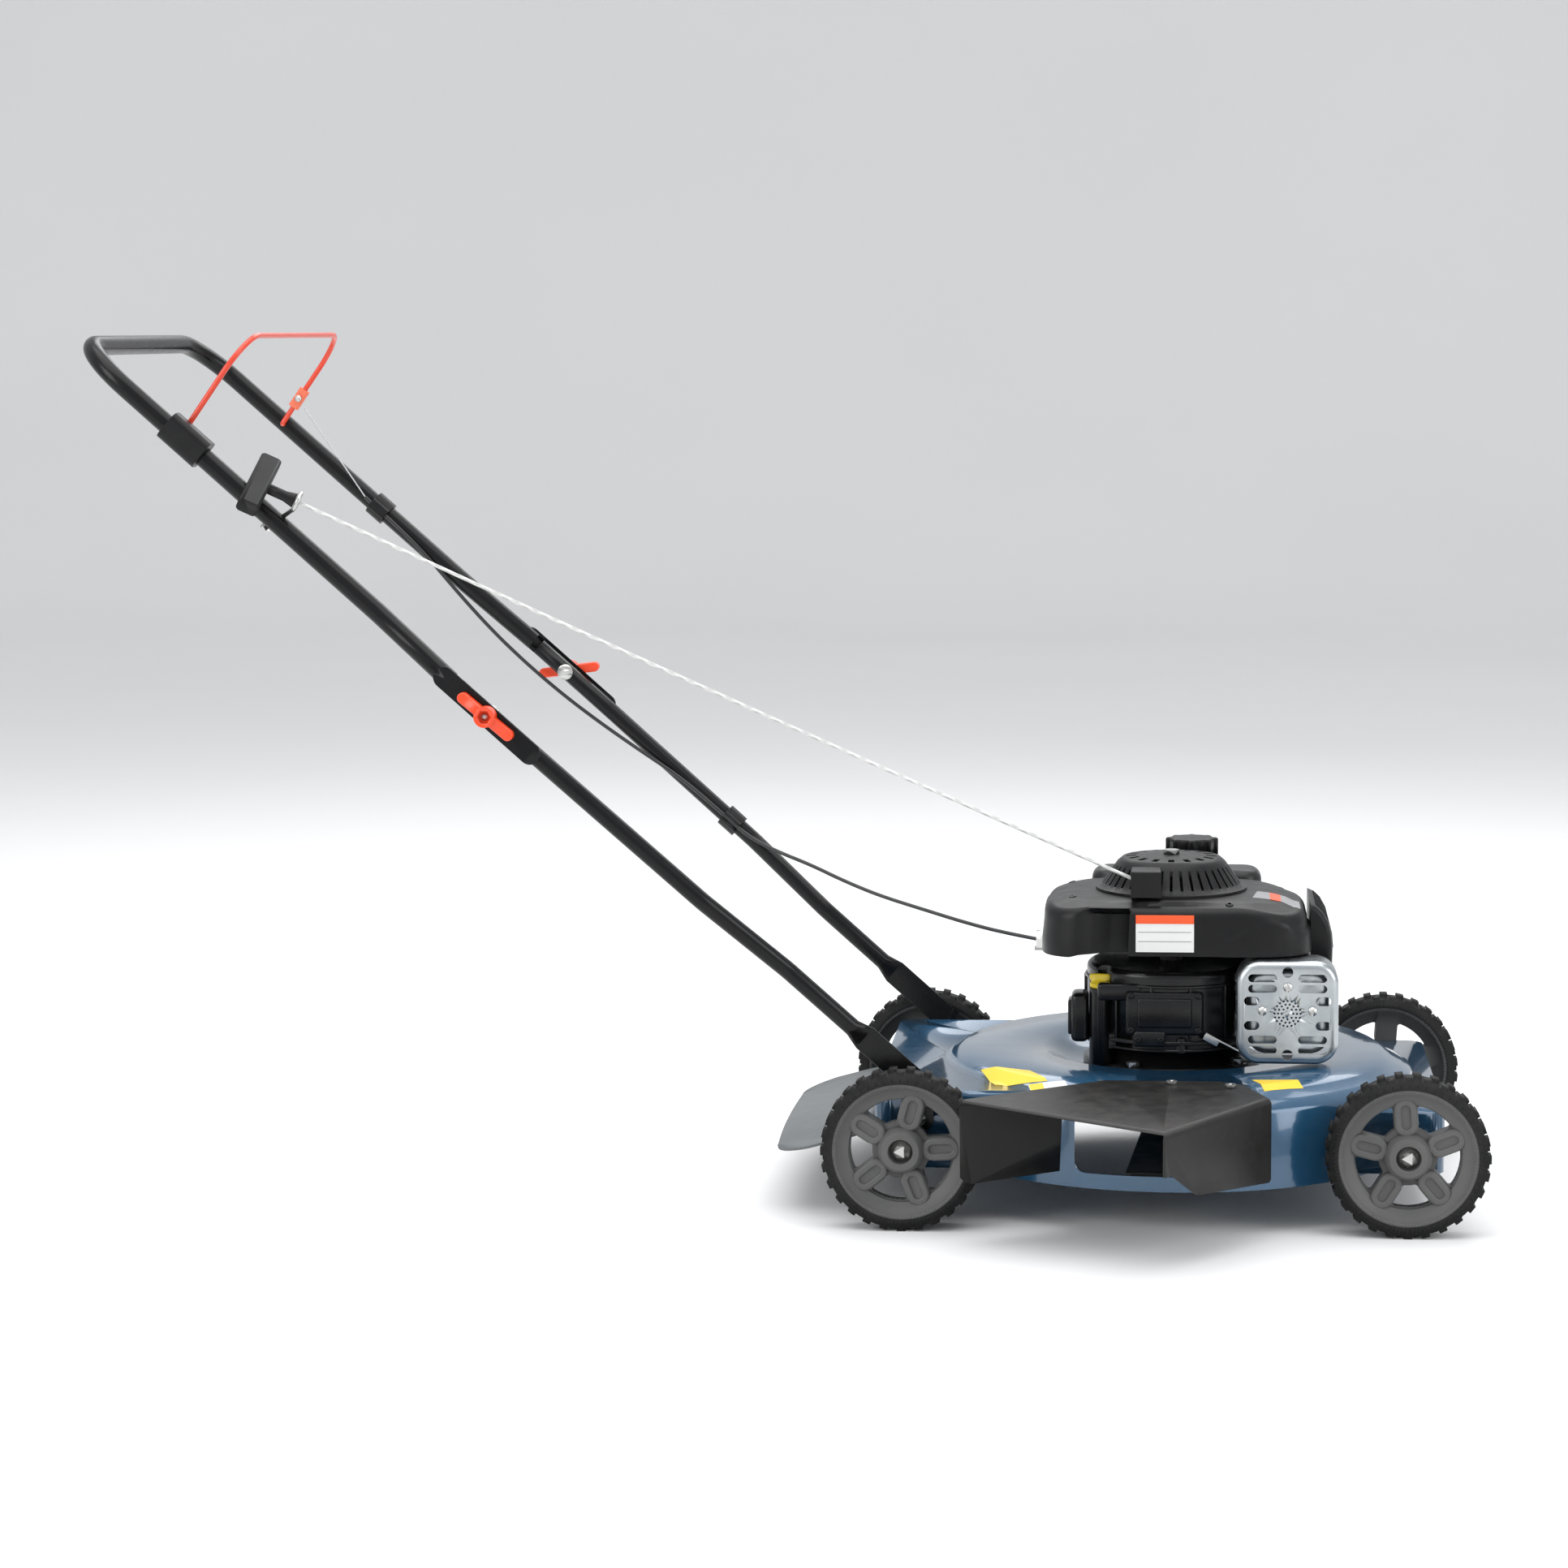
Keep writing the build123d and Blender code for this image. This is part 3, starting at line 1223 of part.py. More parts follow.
bracket_y = 60.0
with BuildPart() as brake_bracket:
    with BuildSketch(level(crankcase_top, -105, bracket_y)):
        Rectangle(110, 16)
    extrude(amount=3)
    with BuildSketch(facing_front(-158, bracket_y, 273)):
        Rectangle(14, 22)
    extrude(amount=8)
    with BuildSketch(facing_front(-170, bracket_y + 1, 273.2)):
        Circle(4.6)
    extrude(amount=40, mode=Mode.SUBTRACT)
brake_bracket.part.label = "brake_bracket"
export_step(brake_bracket.part, "parts/brake_bracket.step")
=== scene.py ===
"""A walk-behind rotary lawn mower, finished for the studio.

Metres, +Z up, +X forwards, the discharge side towards -Y. Places in millimetres are given from the blade's
axis at ground level, as a maker's drawing gives them, and `place` turns them into the frame's metres.
"""
import json
import logging
import math
from dataclasses import dataclass, field
from enum import Enum
from typing import Any, Iterable, Sequence

import bmesh
import bpy
from mathutils import Matrix, Vector
from mathutils.bvhtree import BVHTree

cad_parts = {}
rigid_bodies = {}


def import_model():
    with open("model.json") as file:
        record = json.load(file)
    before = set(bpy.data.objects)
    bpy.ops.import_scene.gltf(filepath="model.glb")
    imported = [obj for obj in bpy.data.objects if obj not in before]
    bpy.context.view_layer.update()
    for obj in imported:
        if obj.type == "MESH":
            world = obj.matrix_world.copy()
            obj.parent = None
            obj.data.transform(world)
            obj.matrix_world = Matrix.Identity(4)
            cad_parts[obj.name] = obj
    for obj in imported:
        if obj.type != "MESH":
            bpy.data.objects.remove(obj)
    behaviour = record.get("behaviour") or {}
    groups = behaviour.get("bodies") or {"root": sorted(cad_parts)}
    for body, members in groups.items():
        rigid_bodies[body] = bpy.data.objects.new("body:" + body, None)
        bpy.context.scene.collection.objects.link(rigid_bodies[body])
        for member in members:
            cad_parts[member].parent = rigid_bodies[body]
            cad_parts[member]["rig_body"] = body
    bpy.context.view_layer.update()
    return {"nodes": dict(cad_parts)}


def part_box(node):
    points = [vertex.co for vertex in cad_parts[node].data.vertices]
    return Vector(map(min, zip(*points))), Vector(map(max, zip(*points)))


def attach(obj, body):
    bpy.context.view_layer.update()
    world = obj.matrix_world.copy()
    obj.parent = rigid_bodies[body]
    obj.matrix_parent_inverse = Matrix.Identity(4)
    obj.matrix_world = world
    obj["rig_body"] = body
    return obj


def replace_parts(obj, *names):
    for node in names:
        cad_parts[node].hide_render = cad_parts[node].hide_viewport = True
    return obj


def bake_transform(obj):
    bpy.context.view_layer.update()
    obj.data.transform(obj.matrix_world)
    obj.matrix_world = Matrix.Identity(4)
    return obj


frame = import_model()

CRANK = (0.43275, 0.07915)
DUST = (0.42, 0.4, 0.36)
BUMP_REACH = 0.0006
COAT_ROUGH = 0.06
MERGE = 1e-6
LABEL_SINK = 0.0002
log = logging.getLogger("mower")
Point = tuple[float, float, float]
Colour = tuple[float, float, float]


def place(x: float, y: float, z: float) -> Vector:
    """A point of the drawing, in millimetres from the blade's axis, as metres in the frame."""
    return Vector((CRANK[0] + x / 1000, CRANK[1] + y / 1000, z / 1000))


# ---------------------------------------------------------------- node trees
@dataclass
class Board:
    """A node tree with short ways to add and join nodes."""

    tree: bpy.types.NodeTree

    def add(self, kind: str, inputs: dict[Any, Any] | None = None, **settings: Any) -> bpy.types.Node:
        """Adds a node.

        Args:
            kind: the node's type name.
            inputs: socket name or number to a value or an output socket.
            settings: the node's own properties.

        Returns:
            The node.
        """
        node = self.tree.nodes.new(kind)
        for key, value in settings.items():
            setattr(node, key, value)
        for key, value in (inputs or {}).items():
            if isinstance(value, bpy.types.NodeSocket):
                self.tree.links.new(value, node.inputs[key])
            else:
                node.inputs[key].default_value = value
        return node

    def maths(self, operation: str, *values: Any) -> bpy.types.NodeSocket:
        """The result of a Math node."""
        return self.add("ShaderNodeMath", dict(enumerate(values)), operation=operation).outputs[0]

    def blend(self, share: Any, first: Any, second: Any) -> bpy.types.NodeSocket:
        """A colour that goes from first to second as share goes from 0 to 1.

        Args:
            share: a number or socket.
            first: a colour or socket.
            second: a colour or socket.

        Returns:
            The mixed colour.
        """
        node = self.add("ShaderNodeMix", data_type="RGBA")
        for key, value in ((0, share), (6, first), (7, second)):
            if isinstance(value, bpy.types.NodeSocket):
                self.tree.links.new(value, node.inputs[key])
            else:
                node.inputs[key].default_value = (*value, 1.0) if isinstance(value, tuple) else value
        return node.outputs[2]

    def span(self, value: Any, low: float, high: float, to_low: float, to_high: float) -> bpy.types.NodeSocket:
        """A number carried from one range to another."""
        return self.add("ShaderNodeMapRange", {0: value, 1: low, 2: high, 3: to_low, 4: to_high}).outputs[0]


class Grain(Enum):
    """How a surface is textured close up: the bump's scale, detail and depth."""

    ENAMEL = (420.0, 1.0, 0.035)
    MOULDED = (1500.0, 3.0, 0.16)
    TREAD = (900.0, 4.0, 0.28)
    PLATED = (260.0, 2.0, 0.05)
    CASTING = (700.0, 4.0, 0.3)
    BRAIDED = (240.0, 1.0, 0.5)
    SHEET = (600.0, 3.0, 0.2)


@dataclass(frozen=True)
class Finish:
    """One surface finish of the machine, built as a procedural material."""

    name: str
    slot: str
    colour: Colour
    shade: Colour
    grain: Grain
    rough: tuple[float, float] = (0.4, 0.55)
    metallic: float = 0.0
    coat: float = 0.0
    edge: Colour | None = None
    edge_share: float = 0.35
    dust: float = 0.0
    mottle: float = 9.0
    corner: float = 0.0006
    shine: float = 0.5

    def material(self) -> bpy.types.Material:
        """The finish's material, made once and then shared."""
        known = bpy.data.materials.get(self.name)
        if known:
            return known
        made = bpy.data.materials.new(self.name)
        made.use_nodes = True
        made.diffuse_color = (*self.colour, 1.0)
        board = Board(made.node_tree)
        board.tree.nodes.clear()
        spot = board.add("ShaderNodeTexCoord").outputs["Object"]
        mottle = board.add("ShaderNodeTexNoise", {"Vector": spot, "Scale": self.mottle, "Detail": 5.0}).outputs["Fac"]
        smudge = board.add(
            "ShaderNodeTexNoise", {"Vector": spot, "Scale": self.mottle * 6, "Detail": 4.0}).outputs["Fac"]
        scale, detail, depth = self.grain.value
        fine = board.add("ShaderNodeTexNoise", {"Vector": spot, "Scale": scale, "Detail": detail}).outputs["Fac"]
        colour = board.blend(board.span(mottle, 0.35, 0.65, 0.0, 1.0), self.colour, self.shade)
        soft = board.add("ShaderNodeBevel", {"Radius": self.corner}, samples=4).outputs[0]
        sharp = board.add("ShaderNodeNewGeometry").outputs["Normal"]
        # Edges are painted lighter: the edge colour is mixed in along rounded edges, where the bevel normal parts
        # from the true normal, broken up by noise. This is partly edge wear and partly painted highlight; the lighter
        # blue and orange edges are painted highlight only.
        if self.edge is not None:
            wide = board.add("ShaderNodeBevel", {"Radius": self.corner * 2.2}, samples=4).outputs[0]
            alike = board.add("ShaderNodeVectorMath", {0: wide, 1: sharp}, operation="DOT_PRODUCT").outputs["Value"]
            edge_wear_and_highlight = board.maths(
                "MULTIPLY", board.span(alike, 0.985, 0.88, 0.0, 1.0),
                board.span(smudge, 0.4, 0.62, 0.0, self.edge_share))
            colour = board.blend(edge_wear_and_highlight, colour, self.edge)
        if self.dust > 0:
            up = board.add("ShaderNodeSeparateXYZ", {0: sharp}).outputs["Z"]
            lying = board.maths(
                "MULTIPLY", board.span(up, 0.2, 1.0, 0.25, 1.0), board.span(smudge, 0.42, 0.75, 0.0, self.dust))
            colour = board.blend(lying, colour, DUST)
        if self.grain is Grain.BRAIDED:
            around = board.add("ShaderNodeUVMap", uv_map="Lay").outputs[0]
            strands = []
            for tilt in (1.0, -1.0):
                turned = board.add(
                    "ShaderNodeMapping", {"Vector": around, "Scale": (4.0, 1.0 * tilt, 1.0)}).outputs[0]
                strands.append(board.add("ShaderNodeTexWave", {"Vector": turned, "Scale": 0.3183, "Distortion": 0.0},
                                         bands_direction="DIAGONAL").outputs["Fac"])
            weave = board.maths("MAXIMUM", strands[0], strands[1])
            fine = board.maths("ADD", board.maths("MULTIPLY", fine, 0.35), weave)
            # Painted shade: the grooves between the braid's strands are darkened towards 0.6 of the shade colour.
            colour = board.blend(board.span(weave, 0.3, 1.0, 0.7, 0.0), colour, tuple(0.6 * c for c in self.shade))
        if self.grain is Grain.PLATED:
            cells = board.add(
                "ShaderNodeTexVoronoi", {"Vector": spot, "Scale": 520.0}, feature="F1").outputs["Distance"]
            fine = board.maths("ADD", fine, board.maths("MULTIPLY", cells, 0.5))
        rough = board.span(
            board.maths("ADD", board.maths("MULTIPLY", smudge, 0.7), board.maths("MULTIPLY", fine, 0.3)), 0.3, 0.7,
            self.rough[0], self.rough[1])
        bump = board.add(
            "ShaderNodeBump", {"Strength": depth, "Distance": BUMP_REACH, "Height": fine, "Normal": soft}).outputs[0]
        shader = board.add("ShaderNodeBsdfPrincipled", {
            "Base Color": colour, "Roughness": rough, "Metallic": self.metallic, "Normal": bump,
            "Coat Weight": self.coat, "Coat Roughness": COAT_ROUGH, "Specular IOR Level": self.shine,
        })
        board.add("ShaderNodeOutputMaterial", {"Surface": shader.outputs[0]})
        return made


# The deck's edge colour, a lighter blue, is a painted highlight along its rounded edges.
DECK_BLUE = Finish(
    "deck_blue_enamel", "deck_blue", (0.02, 0.088, 0.175), (0.017, 0.078, 0.158), Grain.ENAMEL, (0.16, 0.24), 0.2,
    0.9, (0.06, 0.17, 0.28), 0.3, 0.04)
TUBE_BLACK = Finish(
    "tube_black_enamel", "handle_black", (0.004, 0.004, 0.0045), (0.006, 0.006, 0.0065), Grain.ENAMEL, (0.2, 0.3),
    edge=(0.03, 0.03, 0.032), edge_share=0.3, shine=0.24)
PLASTIC = Finish(
    "black_moulding", "plastic_black", (0.0055, 0.0055, 0.006), (0.009, 0.009, 0.0095), Grain.MOULDED, (0.3, 0.44),
    edge=(0.035, 0.035, 0.037), dust=0.018, shine=0.24)
CHUTE = Finish(
    "chute_moulding", "plastic_black", (0.009, 0.0085, 0.008), (0.013, 0.0125, 0.012), Grain.MOULDED, (0.34, 0.48),
    edge=(0.045, 0.044, 0.042), dust=0.03, shine=0.32)
HUB = Finish("hub_moulding", "hub_grey", (0.085, 0.085, 0.083), (0.105, 0.105, 0.102), Grain.MOULDED, (0.42, 0.56),
             edge=(0.17, 0.17, 0.166), dust=0.03, shine=0.35)
TYRE = Finish(
    "tyre_rubber", "tyre", (0.007, 0.007, 0.0072), (0.012, 0.012, 0.0122), Grain.TREAD, (0.6, 0.78), dust=0.05,
    edge=(0.03, 0.03, 0.03), corner=0.0008, shine=0.25)
ZINC = Finish(
    "zinc_plate", "zinc", (0.6, 0.6, 0.58), (0.48, 0.48, 0.47), Grain.PLATED, (0.22, 0.38), 1.0, corner=0.0003)
GALVANISED = Finish(
    "galvanised_sheet", "zinc", (0.5, 0.53, 0.54), (0.4, 0.43, 0.45), Grain.PLATED, (0.24, 0.36), 1.0, corner=0.0005,
    mottle=30.0)
CASTING = Finish(
    "black_casting", "engine_black", (0.0035, 0.0035, 0.004), (0.006, 0.006, 0.0065), Grain.CASTING, (0.14, 0.26),
    edge=(0.03, 0.03, 0.032), edge_share=0.3, dust=0.01, shine=0.36)
STEEL = Finish(
    "dark_steel", "steel_dark", (0.05, 0.05, 0.052), (0.085, 0.08, 0.075), Grain.CASTING, (0.36, 0.56), 0.85,
    edge=(0.3, 0.3, 0.3), edge_share=0.8)
ALLOY = Finish("cast_alloy", "flywheel_alloy", (0.5, 0.5, 0.5), (0.6, 0.6, 0.6), Grain.CASTING, (0.38, 0.5), 1.0)
TANK = Finish("tank_moulding", "tank_black", (0.006, 0.006, 0.0065), (0.01, 0.01, 0.0105), Grain.MOULDED, (0.28, 0.4),
              edge=(0.03, 0.03, 0.03), dust=0.025, shine=0.35)
OIL_YELLOW = Finish(
    "cap_yellow_gloss", "cap_yellow", (0.86, 0.66, 0.035), (0.78, 0.57, 0.025), Grain.ENAMEL, (0.28, 0.38), coat=0.3,
    corner=0.0004)
FLAP = Finish(
    "flap_sheet", "flap_grey", (0.11, 0.12, 0.125), (0.145, 0.155, 0.16), Grain.SHEET, (0.48, 0.62), dust=0.05)
BAIL = Finish(
    "bail_dip", "bail_orange", (0.68, 0.045, 0.011), (0.6, 0.036, 0.009), Grain.ENAMEL, (0.26, 0.36), coat=0.3)
CLAMP = Finish(
    "clamp_moulding", "clamp_orange", (0.78, 0.17, 0.085), (0.7, 0.14, 0.07), Grain.MOULDED, (0.4, 0.5), corner=0.0003
)
# The knob's edge colour, a lighter orange, is a painted highlight along its rounded edges.
KNOB = Finish(
    "knob_moulding", "knob_orange", (0.88, 0.06, 0.007), (0.8, 0.05, 0.006), Grain.ENAMEL, (0.28, 0.4), coat=0.2,
    edge=(0.95, 0.2, 0.08), edge_share=0.4)
# Its braided grain paints shade into the grooves between the strands.
ROPE = Finish(
    "rope_braid", "rope_white", (0.78, 0.78, 0.76), (0.7, 0.7, 0.68), Grain.BRAIDED, (0.7, 0.85), corner=0.0001)
SHEATH = Finish(
    "cable_sheath", "cable_black", (0.012, 0.012, 0.0125), (0.018, 0.018, 0.019), Grain.MOULDED, (0.35, 0.45),
    corner=0.0001)
WIRE = Finish(
    "drawn_wire", "wire_steel", (0.6, 0.6, 0.6), (0.5, 0.5, 0.5), Grain.PLATED, (0.25, 0.38), 1.0, corner=0.0001)
LABEL_YELLOW = Finish(
    "label_yellow", "cap_yellow", (0.9, 0.62, 0.03), (0.86, 0.57, 0.03), Grain.SHEET, (0.3, 0.4), corner=0.0001)
LABEL_WHITE = Finish(
    "label_white", "rope_white", (0.78, 0.78, 0.76), (0.72, 0.72, 0.7), Grain.SHEET, (0.3, 0.4), corner=0.0001)
LABEL_ORANGE = Finish(
    "label_orange", "knob_orange", (0.85, 0.1, 0.02), (0.8, 0.09, 0.02), Grain.SHEET, (0.3, 0.4), corner=0.0001)
LABEL_GREY = Finish(
    "label_grey", "hub_grey", (0.3, 0.3, 0.31), (0.26, 0.26, 0.27), Grain.SHEET, (0.32, 0.42), corner=0.0001)


# ---------------------------------------------------------------- meshes
def new_object(
    name: str, shape: bmesh.types.BMesh | bpy.types.Mesh, finish: Finish, smooth: float = 32.0) -> bpy.types.Object:
    """An object in the scene with its normals outward, smoothed up to an angle, in one finish.

    Args:
        name: the piece's name.
        shape: a bmesh, which is freed, or a mesh.
        finish: the surface finish.
        smooth: edges that turn by more than this many degrees stay sharp.

    Returns:
        The object.
    """
    if isinstance(shape, bmesh.types.BMesh):
        mesh = bpy.data.meshes.new(name)
        shape.to_mesh(mesh)
        shape.free()
    else:
        mesh = shape
        mesh.name = name
    mesh.materials.clear()
    mesh.materials.append(finish.material())
    for face in mesh.polygons:
        face.use_smooth = True
        face.material_index = 0
    mesh.set_sharp_from_angle(angle=math.radians(smooth))
    made = bpy.data.objects.new(name, mesh)
    bpy.context.scene.collection.objects.link(made)
    return made


def smooth_skin(node: str, finish: Finish, smooth: float = 32.0) -> bpy.types.Object:
    """A merged, smoothly shaded skin of a CAD node, which stands for it and rides on its body.

    Args:
        node: the CAD node's name.
        finish: the surface finish.
        smooth: edges that turn by more than this many degrees stay sharp.

    Returns:
        The skin.
    """
    source = frame["nodes"][node]
    shape = bmesh.new()
    shape.from_mesh(source.data)
    bmesh.ops.remove_doubles(shape, verts=shape.verts, dist=2 * MERGE)
    made = new_object(f"{node}_skin", shape, finish, smooth)
    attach(made, source["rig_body"])
    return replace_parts(made, node)


def turned(profile: Sequence[tuple[float, float]], steps: int = 32) -> bmesh.types.BMesh:
    """A closed solid turned about Z from a profile of (radius, height) that starts and ends on the axis.

    Args:
        profile: the section's points, in metres.
        steps: how many cells go round.

    Returns:
        The solid.
    """
    shape = bmesh.new()
    ring = [shape.verts.new((r, 0.0, z)) for r, z in profile]
    for a, b in zip(ring, ring[1:]):
        shape.edges.new((a, b))
    bmesh.ops.spin(
        shape, geom=shape.verts[:] + shape.edges[:], cent=(0, 0, 0), axis=(0, 0, 1), angle=math.tau, steps=steps)
    bmesh.ops.remove_doubles(shape, verts=shape.verts, dist=MERGE)
    bmesh.ops.recalc_face_normals(shape, faces=shape.faces)
    return shape


def block(size: Point, soften: float = 0.0, segments: int = 2) -> bmesh.types.BMesh:
    """A block of that size about the origin with its edges rounded.

    Args:
        size: its length, depth and height.
        soften: the edges' radius.
        segments: how many cells an edge has.

    Returns:
        The block.
    """
    shape = bmesh.new()
    bmesh.ops.create_cube(shape, size=1.0)
    bmesh.ops.scale(shape, vec=size, verts=shape.verts)
    if soften > 0:
        bmesh.ops.bevel(shape, geom=shape.edges[:], offset=soften, segments=segments, affect="EDGES", profile=0.5)
    return shape


def facing(origin: Vector, normal: Vector, up: Vector = Vector((0, 0, 1))) -> Matrix:
    """A matrix that puts a piece's own Z along normal, its Y near up and its centre at origin.

    Args:
        origin: where the centre goes.
        normal: where Z points.
        up: roughly where Y points.

    Returns:
        The matrix.
    """
    z = normal.normalized()
    x = up.cross(z).normalized()
    y = z.cross(x)
    return Matrix.Translation(origin) @ Matrix((x, y, z)).transposed().to_4x4()


class Pattern(Enum):
    """How a repeated part is laid out."""

    RING = "ring"
    ROW = "row"


@dataclass
class Repeater:
    """A Geometry Nodes tree that repeats one part round a ring or along a row."""

    pattern: Pattern

    def tree(self) -> bpy.types.NodeTree:
        """The pattern's tree, made once."""
        name = f"repeat_{self.pattern.value}"
        if name in bpy.data.node_groups:
            return bpy.data.node_groups[name]
        tree = bpy.data.node_groups.new(name, "GeometryNodeTree")
        face = tree.interface
        face.new_socket("Geometry", in_out="OUTPUT", socket_type="NodeSocketGeometry")
        for label, kind in (("Part", "NodeSocketObject"), ("Count", "NodeSocketInt"), ("Radius", "NodeSocketFloat"),
                            ("Step", "NodeSocketVector"), ("Finish", "NodeSocketMaterial")):
            face.new_socket(label, in_out="INPUT", socket_type=kind)
        board = Board(tree)
        given = board.add("NodeGroupInput").outputs
        part = board.add("GeometryNodeObjectInfo", {"Object": given["Part"]}).outputs["Geometry"]
        if self.pattern is Pattern.RING:
            spots = board.add(
                "GeometryNodeMeshCircle", {"Vertices": given["Count"], "Radius": given["Radius"]}).outputs[0]
            index = board.add("GeometryNodeInputIndex").outputs[0]
            angle = board.maths("MULTIPLY", index, board.maths("DIVIDE", math.tau, given["Count"]))
            turn = board.add("ShaderNodeCombineXYZ", {"Z": angle}).outputs[0]
        else:
            spots = board.add("GeometryNodeMeshLine", {"Count": given["Count"], "Offset": given["Step"]}).outputs[0]
            turn = board.add("ShaderNodeCombineXYZ", {"Z": 0.0}).outputs[0]
        copies = board.add(
            "GeometryNodeInstanceOnPoints", {"Points": spots, "Instance": part, "Rotation": turn}).outputs[0]
        plain = board.add("GeometryNodeRealizeInstances", {"Geometry": copies}).outputs[0]
        dressed = board.add("GeometryNodeSetMaterial", {"Geometry": plain, "Material": given["Finish"]}).outputs[0]
        board.add("NodeGroupOutput", {0: dressed})
        return tree

    def make(self, name: str, part: bmesh.types.BMesh, finish: Finish, where: Iterable[Matrix], body: str,
             count: int = 1, radius: float = 0.0, step: Point = (0.0, 0.0, 0.0)) -> bpy.types.Object:
        """Repeats a part and puts one copy of the whole pattern at each place.

        Args:
            name: the piece's name.
            part: the part that is repeated; it is freed.
            finish: its finish.
            where: a matrix for each copy of the pattern.
            body: the CAD body that the piece rides on.
            count: how many parts a pattern has.
            radius: the ring's radius.
            step: from one part of a row to the next.

        Returns:
            One plain mesh object.
        """
        seed = new_object(f"{name}_part", part, finish)
        host = bpy.data.objects.new(f"{name}_host", bpy.data.meshes.new(f"{name}_host"))
        bpy.context.scene.collection.objects.link(host)
        modifier = host.modifiers.new("repeat", "NODES")
        tree = self.tree()
        modifier.node_group = tree
        values = {"Part": seed, "Count": count, "Radius": radius, "Step": step, "Finish": finish.material()}
        for item in tree.interface.items_tree:
            if item.in_out == "INPUT":
                modifier[item.identifier] = values[item.name]
        graph = bpy.context.evaluated_depsgraph_get()
        pattern = bpy.data.meshes.new_from_object(host.evaluated_get(graph))
        host.modifiers.remove(modifier)
        whole = bmesh.new()
        for matrix in where:
            copy = pattern.copy()
            copy.transform(matrix)
            whole.from_mesh(copy)
            bpy.data.meshes.remove(copy)
        for spare in (seed, host):
            bpy.data.objects.remove(spare)
        made = new_object(name, whole, finish)
        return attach(made, body)


def screw_head(radius: float, height: float, slot: float) -> bmesh.types.BMesh:
    """A pan head with a round socket.

    Args:
        radius: the head's radius.
        height: the head's height.
        slot: the socket's radius.

    Returns:
        The head, seated on the origin.
    """
    shape = turned(
        [
            (0, -0.0008), (radius, -0.0008), (radius, height * 0.45), (radius * 0.86, height * 0.85),
            (radius * 0.6, height), (slot, height), (slot * 0.95, height * 0.35), (0, height * 0.3)],
        18)
    return shape


def ease(value: float, low: float, high: float) -> float:
    """0 at low, 1 at high and a smooth step between them.

    Args:
        value: the number to place.
        low: where the step starts.
        high: where it ends.

    Returns:
        The share.
    """
    share = min(max((value - low) / (high - low), 0.0), 1.0)
    return share * share * (3 - 2 * share)


def rows_to_shell(rows: Sequence[Sequence[Vector]], closed_rows: bool, closed_ends: bool) -> bmesh.types.BMesh:
    """Quads between rows of points; a row can close on itself, and the last row can join the first.

    Args:
        rows: rows of equally many points.
        closed_rows: whether each row closes on itself.
        closed_ends: whether the last row joins the first.

    Returns:
        The skin, with its normals outward.
    """
    shape = bmesh.new()
    grid = [[shape.verts.new(spot) for spot in row] for row in rows]
    pairs = list(zip(grid, grid[1:])) + ([(grid[-1], grid[0])] if closed_ends else [])
    for low, high in pairs:
        count = len(low)
        for k in range(count if closed_rows else count - 1):
            after = (k + 1) % count
            shape.faces.new((low[k], low[after], high[after], high[k]))
    bmesh.ops.recalc_face_normals(shape, faces=shape.faces)
    return shape


def loft(rows: Sequence[Sequence[Vector]]) -> bmesh.types.BMesh:
    """A closed solid through closed rows of points, with its first and last rows filled.

    Args:
        rows: closed rows of equally many points.

    Returns:
        The solid.
    """
    shape = rows_to_shell(rows, True, False)
    bmesh.ops.holes_fill(shape, edges=shape.edges, sides=0)
    bmesh.ops.recalc_face_normals(shape, faces=shape.faces)
    return shape


def ring_rows(profile: Sequence[tuple[float, float]], steps: int = 72) -> bmesh.types.BMesh:
    """A ring about Z whose section is a closed loop of (radius, height), in metres.

    Args:
        profile: the section's points.
        steps: how many cells go round.

    Returns:
        The ring.
    """
    return rows_to_shell(
        [
            [
                Vector((r * math.cos(math.tau * k / steps), r * math.sin(math.tau * k / steps), z))
                for k in range(steps)] for r,
            z in profile],
        True, True)


def stadium(half_length: float, half_width: float, inset: float, height: float, steps: int = 7) -> list[Vector]:
    """A closed row along a slot's outline about the origin, moved in by inset and up to a height, in metres.

    Args:
        half_length: half the slot's length.
        half_width: half its width.
        inset: how far the row lies inside the outline.
        height: the row's height.
        steps: how many cells each rounded end has.

    Returns:
        The row's points.
    """
    radius = max(half_width - inset, 0.0004)
    straight = max(half_length - half_width, 0.0)
    row = []
    for side in (1, -1):
        for k in range(steps + 1):
            angle = math.pi * (k / steps - 0.5) + (0 if side > 0 else math.pi)
            row.append(Vector((side * straight + radius * math.cos(angle), radius * math.sin(angle), height)))
    return row


